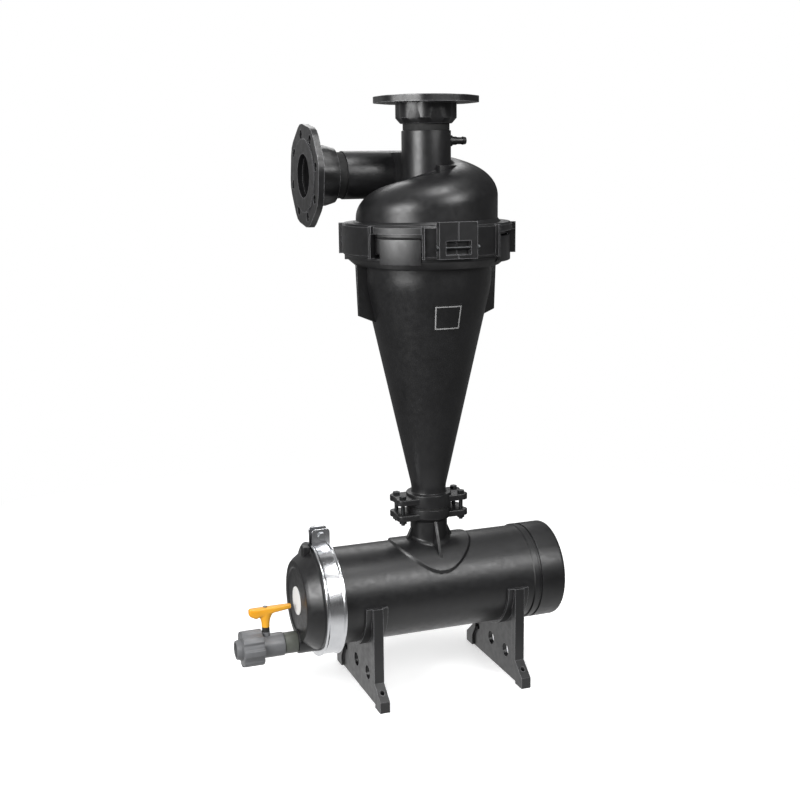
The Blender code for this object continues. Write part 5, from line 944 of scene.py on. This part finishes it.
# %% [markdown]
# ## Floor, sky and lamps
# The photograph is a cut-out on white. A white floor and a white sky stand in for it, and the
# camera sees both as white. To the light that bounces, the floor is a mid grey. In reflections it
# is a bright card near the object that fades to dark with the distance. The sky is dimmer as a
# light, and in reflections it is white where the studio had its large soft lights, to the left
# and the right of the camera, overhead and behind, and dark between them. That is what draws the
# long soft bands on the black nylon and the hard contrasts on the bright band.

# %% Floor and sky
CARD_EDGE, CARD_END = (0.30, 0.95), (0.75, 0.16)  # distance in metres, strength
DARK_SKY = 0.07
def floor_sheet(size=30.0, height=-0.0004):
    """A square of four corners just under the feet."""
    corners = [(x * size, y * size, height) for x, y in ((-1, -1), (1, -1), (1, 1), (-1, 1))]
    mesh = bpy.data.meshes.new("floor")
    mesh.from_pydata(corners, [], [(0, 1, 2, 3)])
    obj = bpy.data.objects.new("floor", mesh)
    bpy.context.scene.collection.objects.link(obj)
    return obj


floor = floor_sheet()
ground, tree, shader = blank("white_floor")
shader.inputs["Base Color"].default_value = colour("#F4F4F4")
shader.inputs["Roughness"].default_value = 0.9
seen = node(tree, "ShaderNodeLightPath").outputs["Is Camera Ray"]
glow = node(tree, "ShaderNodeEmission", Color=(1, 1, 1, 1), Strength=0.5)
lit = node(tree, "ShaderNodeAddShader", _0=shader.outputs[0], _1=glow.outputs[0])
spot = node(tree, "ShaderNodeTexCoord").outputs["Object"]
far = node(tree, "ShaderNodeVectorMath", {"operation": "LENGTH"}, _0=spot).outputs["Value"]
fade = node(tree, "ShaderNodeMapRange", Value=far, From_Min=0.7, From_Max=1.8)
plain = node(tree, "ShaderNodeEmission", Color=(1, 1, 1, 1), Strength=1.0)
share = fade.outputs["Result"]
edge = node(tree, "ShaderNodeMixShader", _0=share, _1=lit.outputs[0], _2=plain.outputs[0])
dim = node(tree, "ShaderNodeBsdfDiffuse", Color=colour("#7C7C7C"))
shine = node(tree, "ShaderNodeMapRange", Value=far)
for end, (distance, strong) in (("Min", CARD_EDGE), ("Max", CARD_END)):
    shine.inputs[f"From {end}"].default_value = distance
    shine.inputs[f"To {end}"].default_value = strong
card = node(tree, "ShaderNodeEmission", Color=(1, 1, 1, 1), Strength=shine.outputs["Result"])
mirrored = node(tree, "ShaderNodeLightPath").outputs["Is Glossy Ray"]
hidden = node(tree, "ShaderNodeMixShader", _0=mirrored, _1=dim.outputs[0], _2=card.outputs[0])
both = node(tree, "ShaderNodeMixShader", _0=seen, _1=hidden.outputs[0], _2=edge.outputs[0])
tree.links.new(both.outputs[0], tree.nodes["Material Output"].inputs["Surface"])
floor.data.materials.append(ground)
world = bpy.data.worlds.new("sky")
bpy.context.scene.world = world
world.use_nodes = True
sky = world.node_tree
path = node(sky, "ShaderNodeLightPath")
outward = node(sky, "ShaderNodeTexCoord").outputs["Generated"]


def soft_window(azimuth, elevation, inner, outer, peak):
    """White round a direction: the dot product with it runs from cos(outer) to cos(inner)."""
    a, e = math.radians(azimuth), math.radians(elevation)
    aim = (math.cos(a) * math.cos(e), math.sin(a) * math.cos(e), math.sin(e))
    near = node(sky, "ShaderNodeVectorMath", {"operation": "DOT_PRODUCT"}, _0=outward, _1=aim)
    smooth = {"interpolation_type": "SMOOTHSTEP"}
    edge = node(sky, "ShaderNodeMapRange", smooth, Value=near.outputs["Value"])
    edge.inputs["From Min"].default_value = math.cos(math.radians(outer))
    edge.inputs["From Max"].default_value = math.cos(math.radians(inner))
    edge.inputs["To Max"].default_value = peak
    return edge.outputs["Result"]


def largest(first, second):
    """The larger of two values."""
    return node(sky, "ShaderNodeMath", {"operation": "MAXIMUM"}, _0=first, _1=second).outputs[0]


studio = soft_window(-152, 12, 8, 34, 1.0)
for window in ((-66, 34, 8, 30, 0.8), (110, 30, 20, 60, 0.45), (0, 90, 15, 50, 0.7)):
    studio = largest(studio, soft_window(*window))
studio = largest(studio, DARK_SKY)
glossy = path.outputs["Is Glossy Ray"]
as_light = node(sky, "ShaderNodeMapRange", Value=glossy, To_Min=0.32, To_Max=studio)
white = largest(path.outputs["Is Camera Ray"], path.outputs["Is Transmission Ray"])
strength = node(sky, "ShaderNodeMapRange", Value=white, To_Min=as_light.outputs["Result"], To_Max=1.0)
background = sky.nodes["Background"]
background.inputs["Color"].default_value = (1, 1, 1, 1)
sky.links.new(strength.outputs["Result"], background.inputs["Strength"])
print("floor and sky are white")

# %% Lamps
def lamp(name, place, target, size, watts):
    """A square area lamp that faces a point."""
    light = bpy.data.lights.new(name, "AREA")
    light.shape, light.size, light.energy = "SQUARE", size, watts
    obj = bpy.data.objects.new(name, light)
    bpy.context.scene.collection.objects.link(obj)
    z = np.array(place, float) - np.array(target, float)
    z /= np.linalg.norm(z)
    x = np.cross((0, 0, 1), z)
    x /= np.linalg.norm(x)
    matrix = np.eye(4)
    matrix[:3, :3] = np.stack([x, np.cross(z, x), z], axis=1)
    matrix[:3, 3] = place
    obj.matrix_world = Matrix(matrix.tolist())
    return obj


lamp("key", (-2.7, -1.5, 1.5), (0, 0, 0.7), 1.8, 110)
lamp("fill", (1.3, -2.7, 2.5), (0, 0, 0.6), 1.6, 60)
lamp("top", (0.2, -0.9, 3.3), (0, 0, 0.8), 0.9, 30)
lamp("back", (0.6, 2.6, 2.4), (0, 0, 0.7), 1.6, 20)
bpy.context.scene.view_settings.view_transform = "Standard"
print("four lamps")
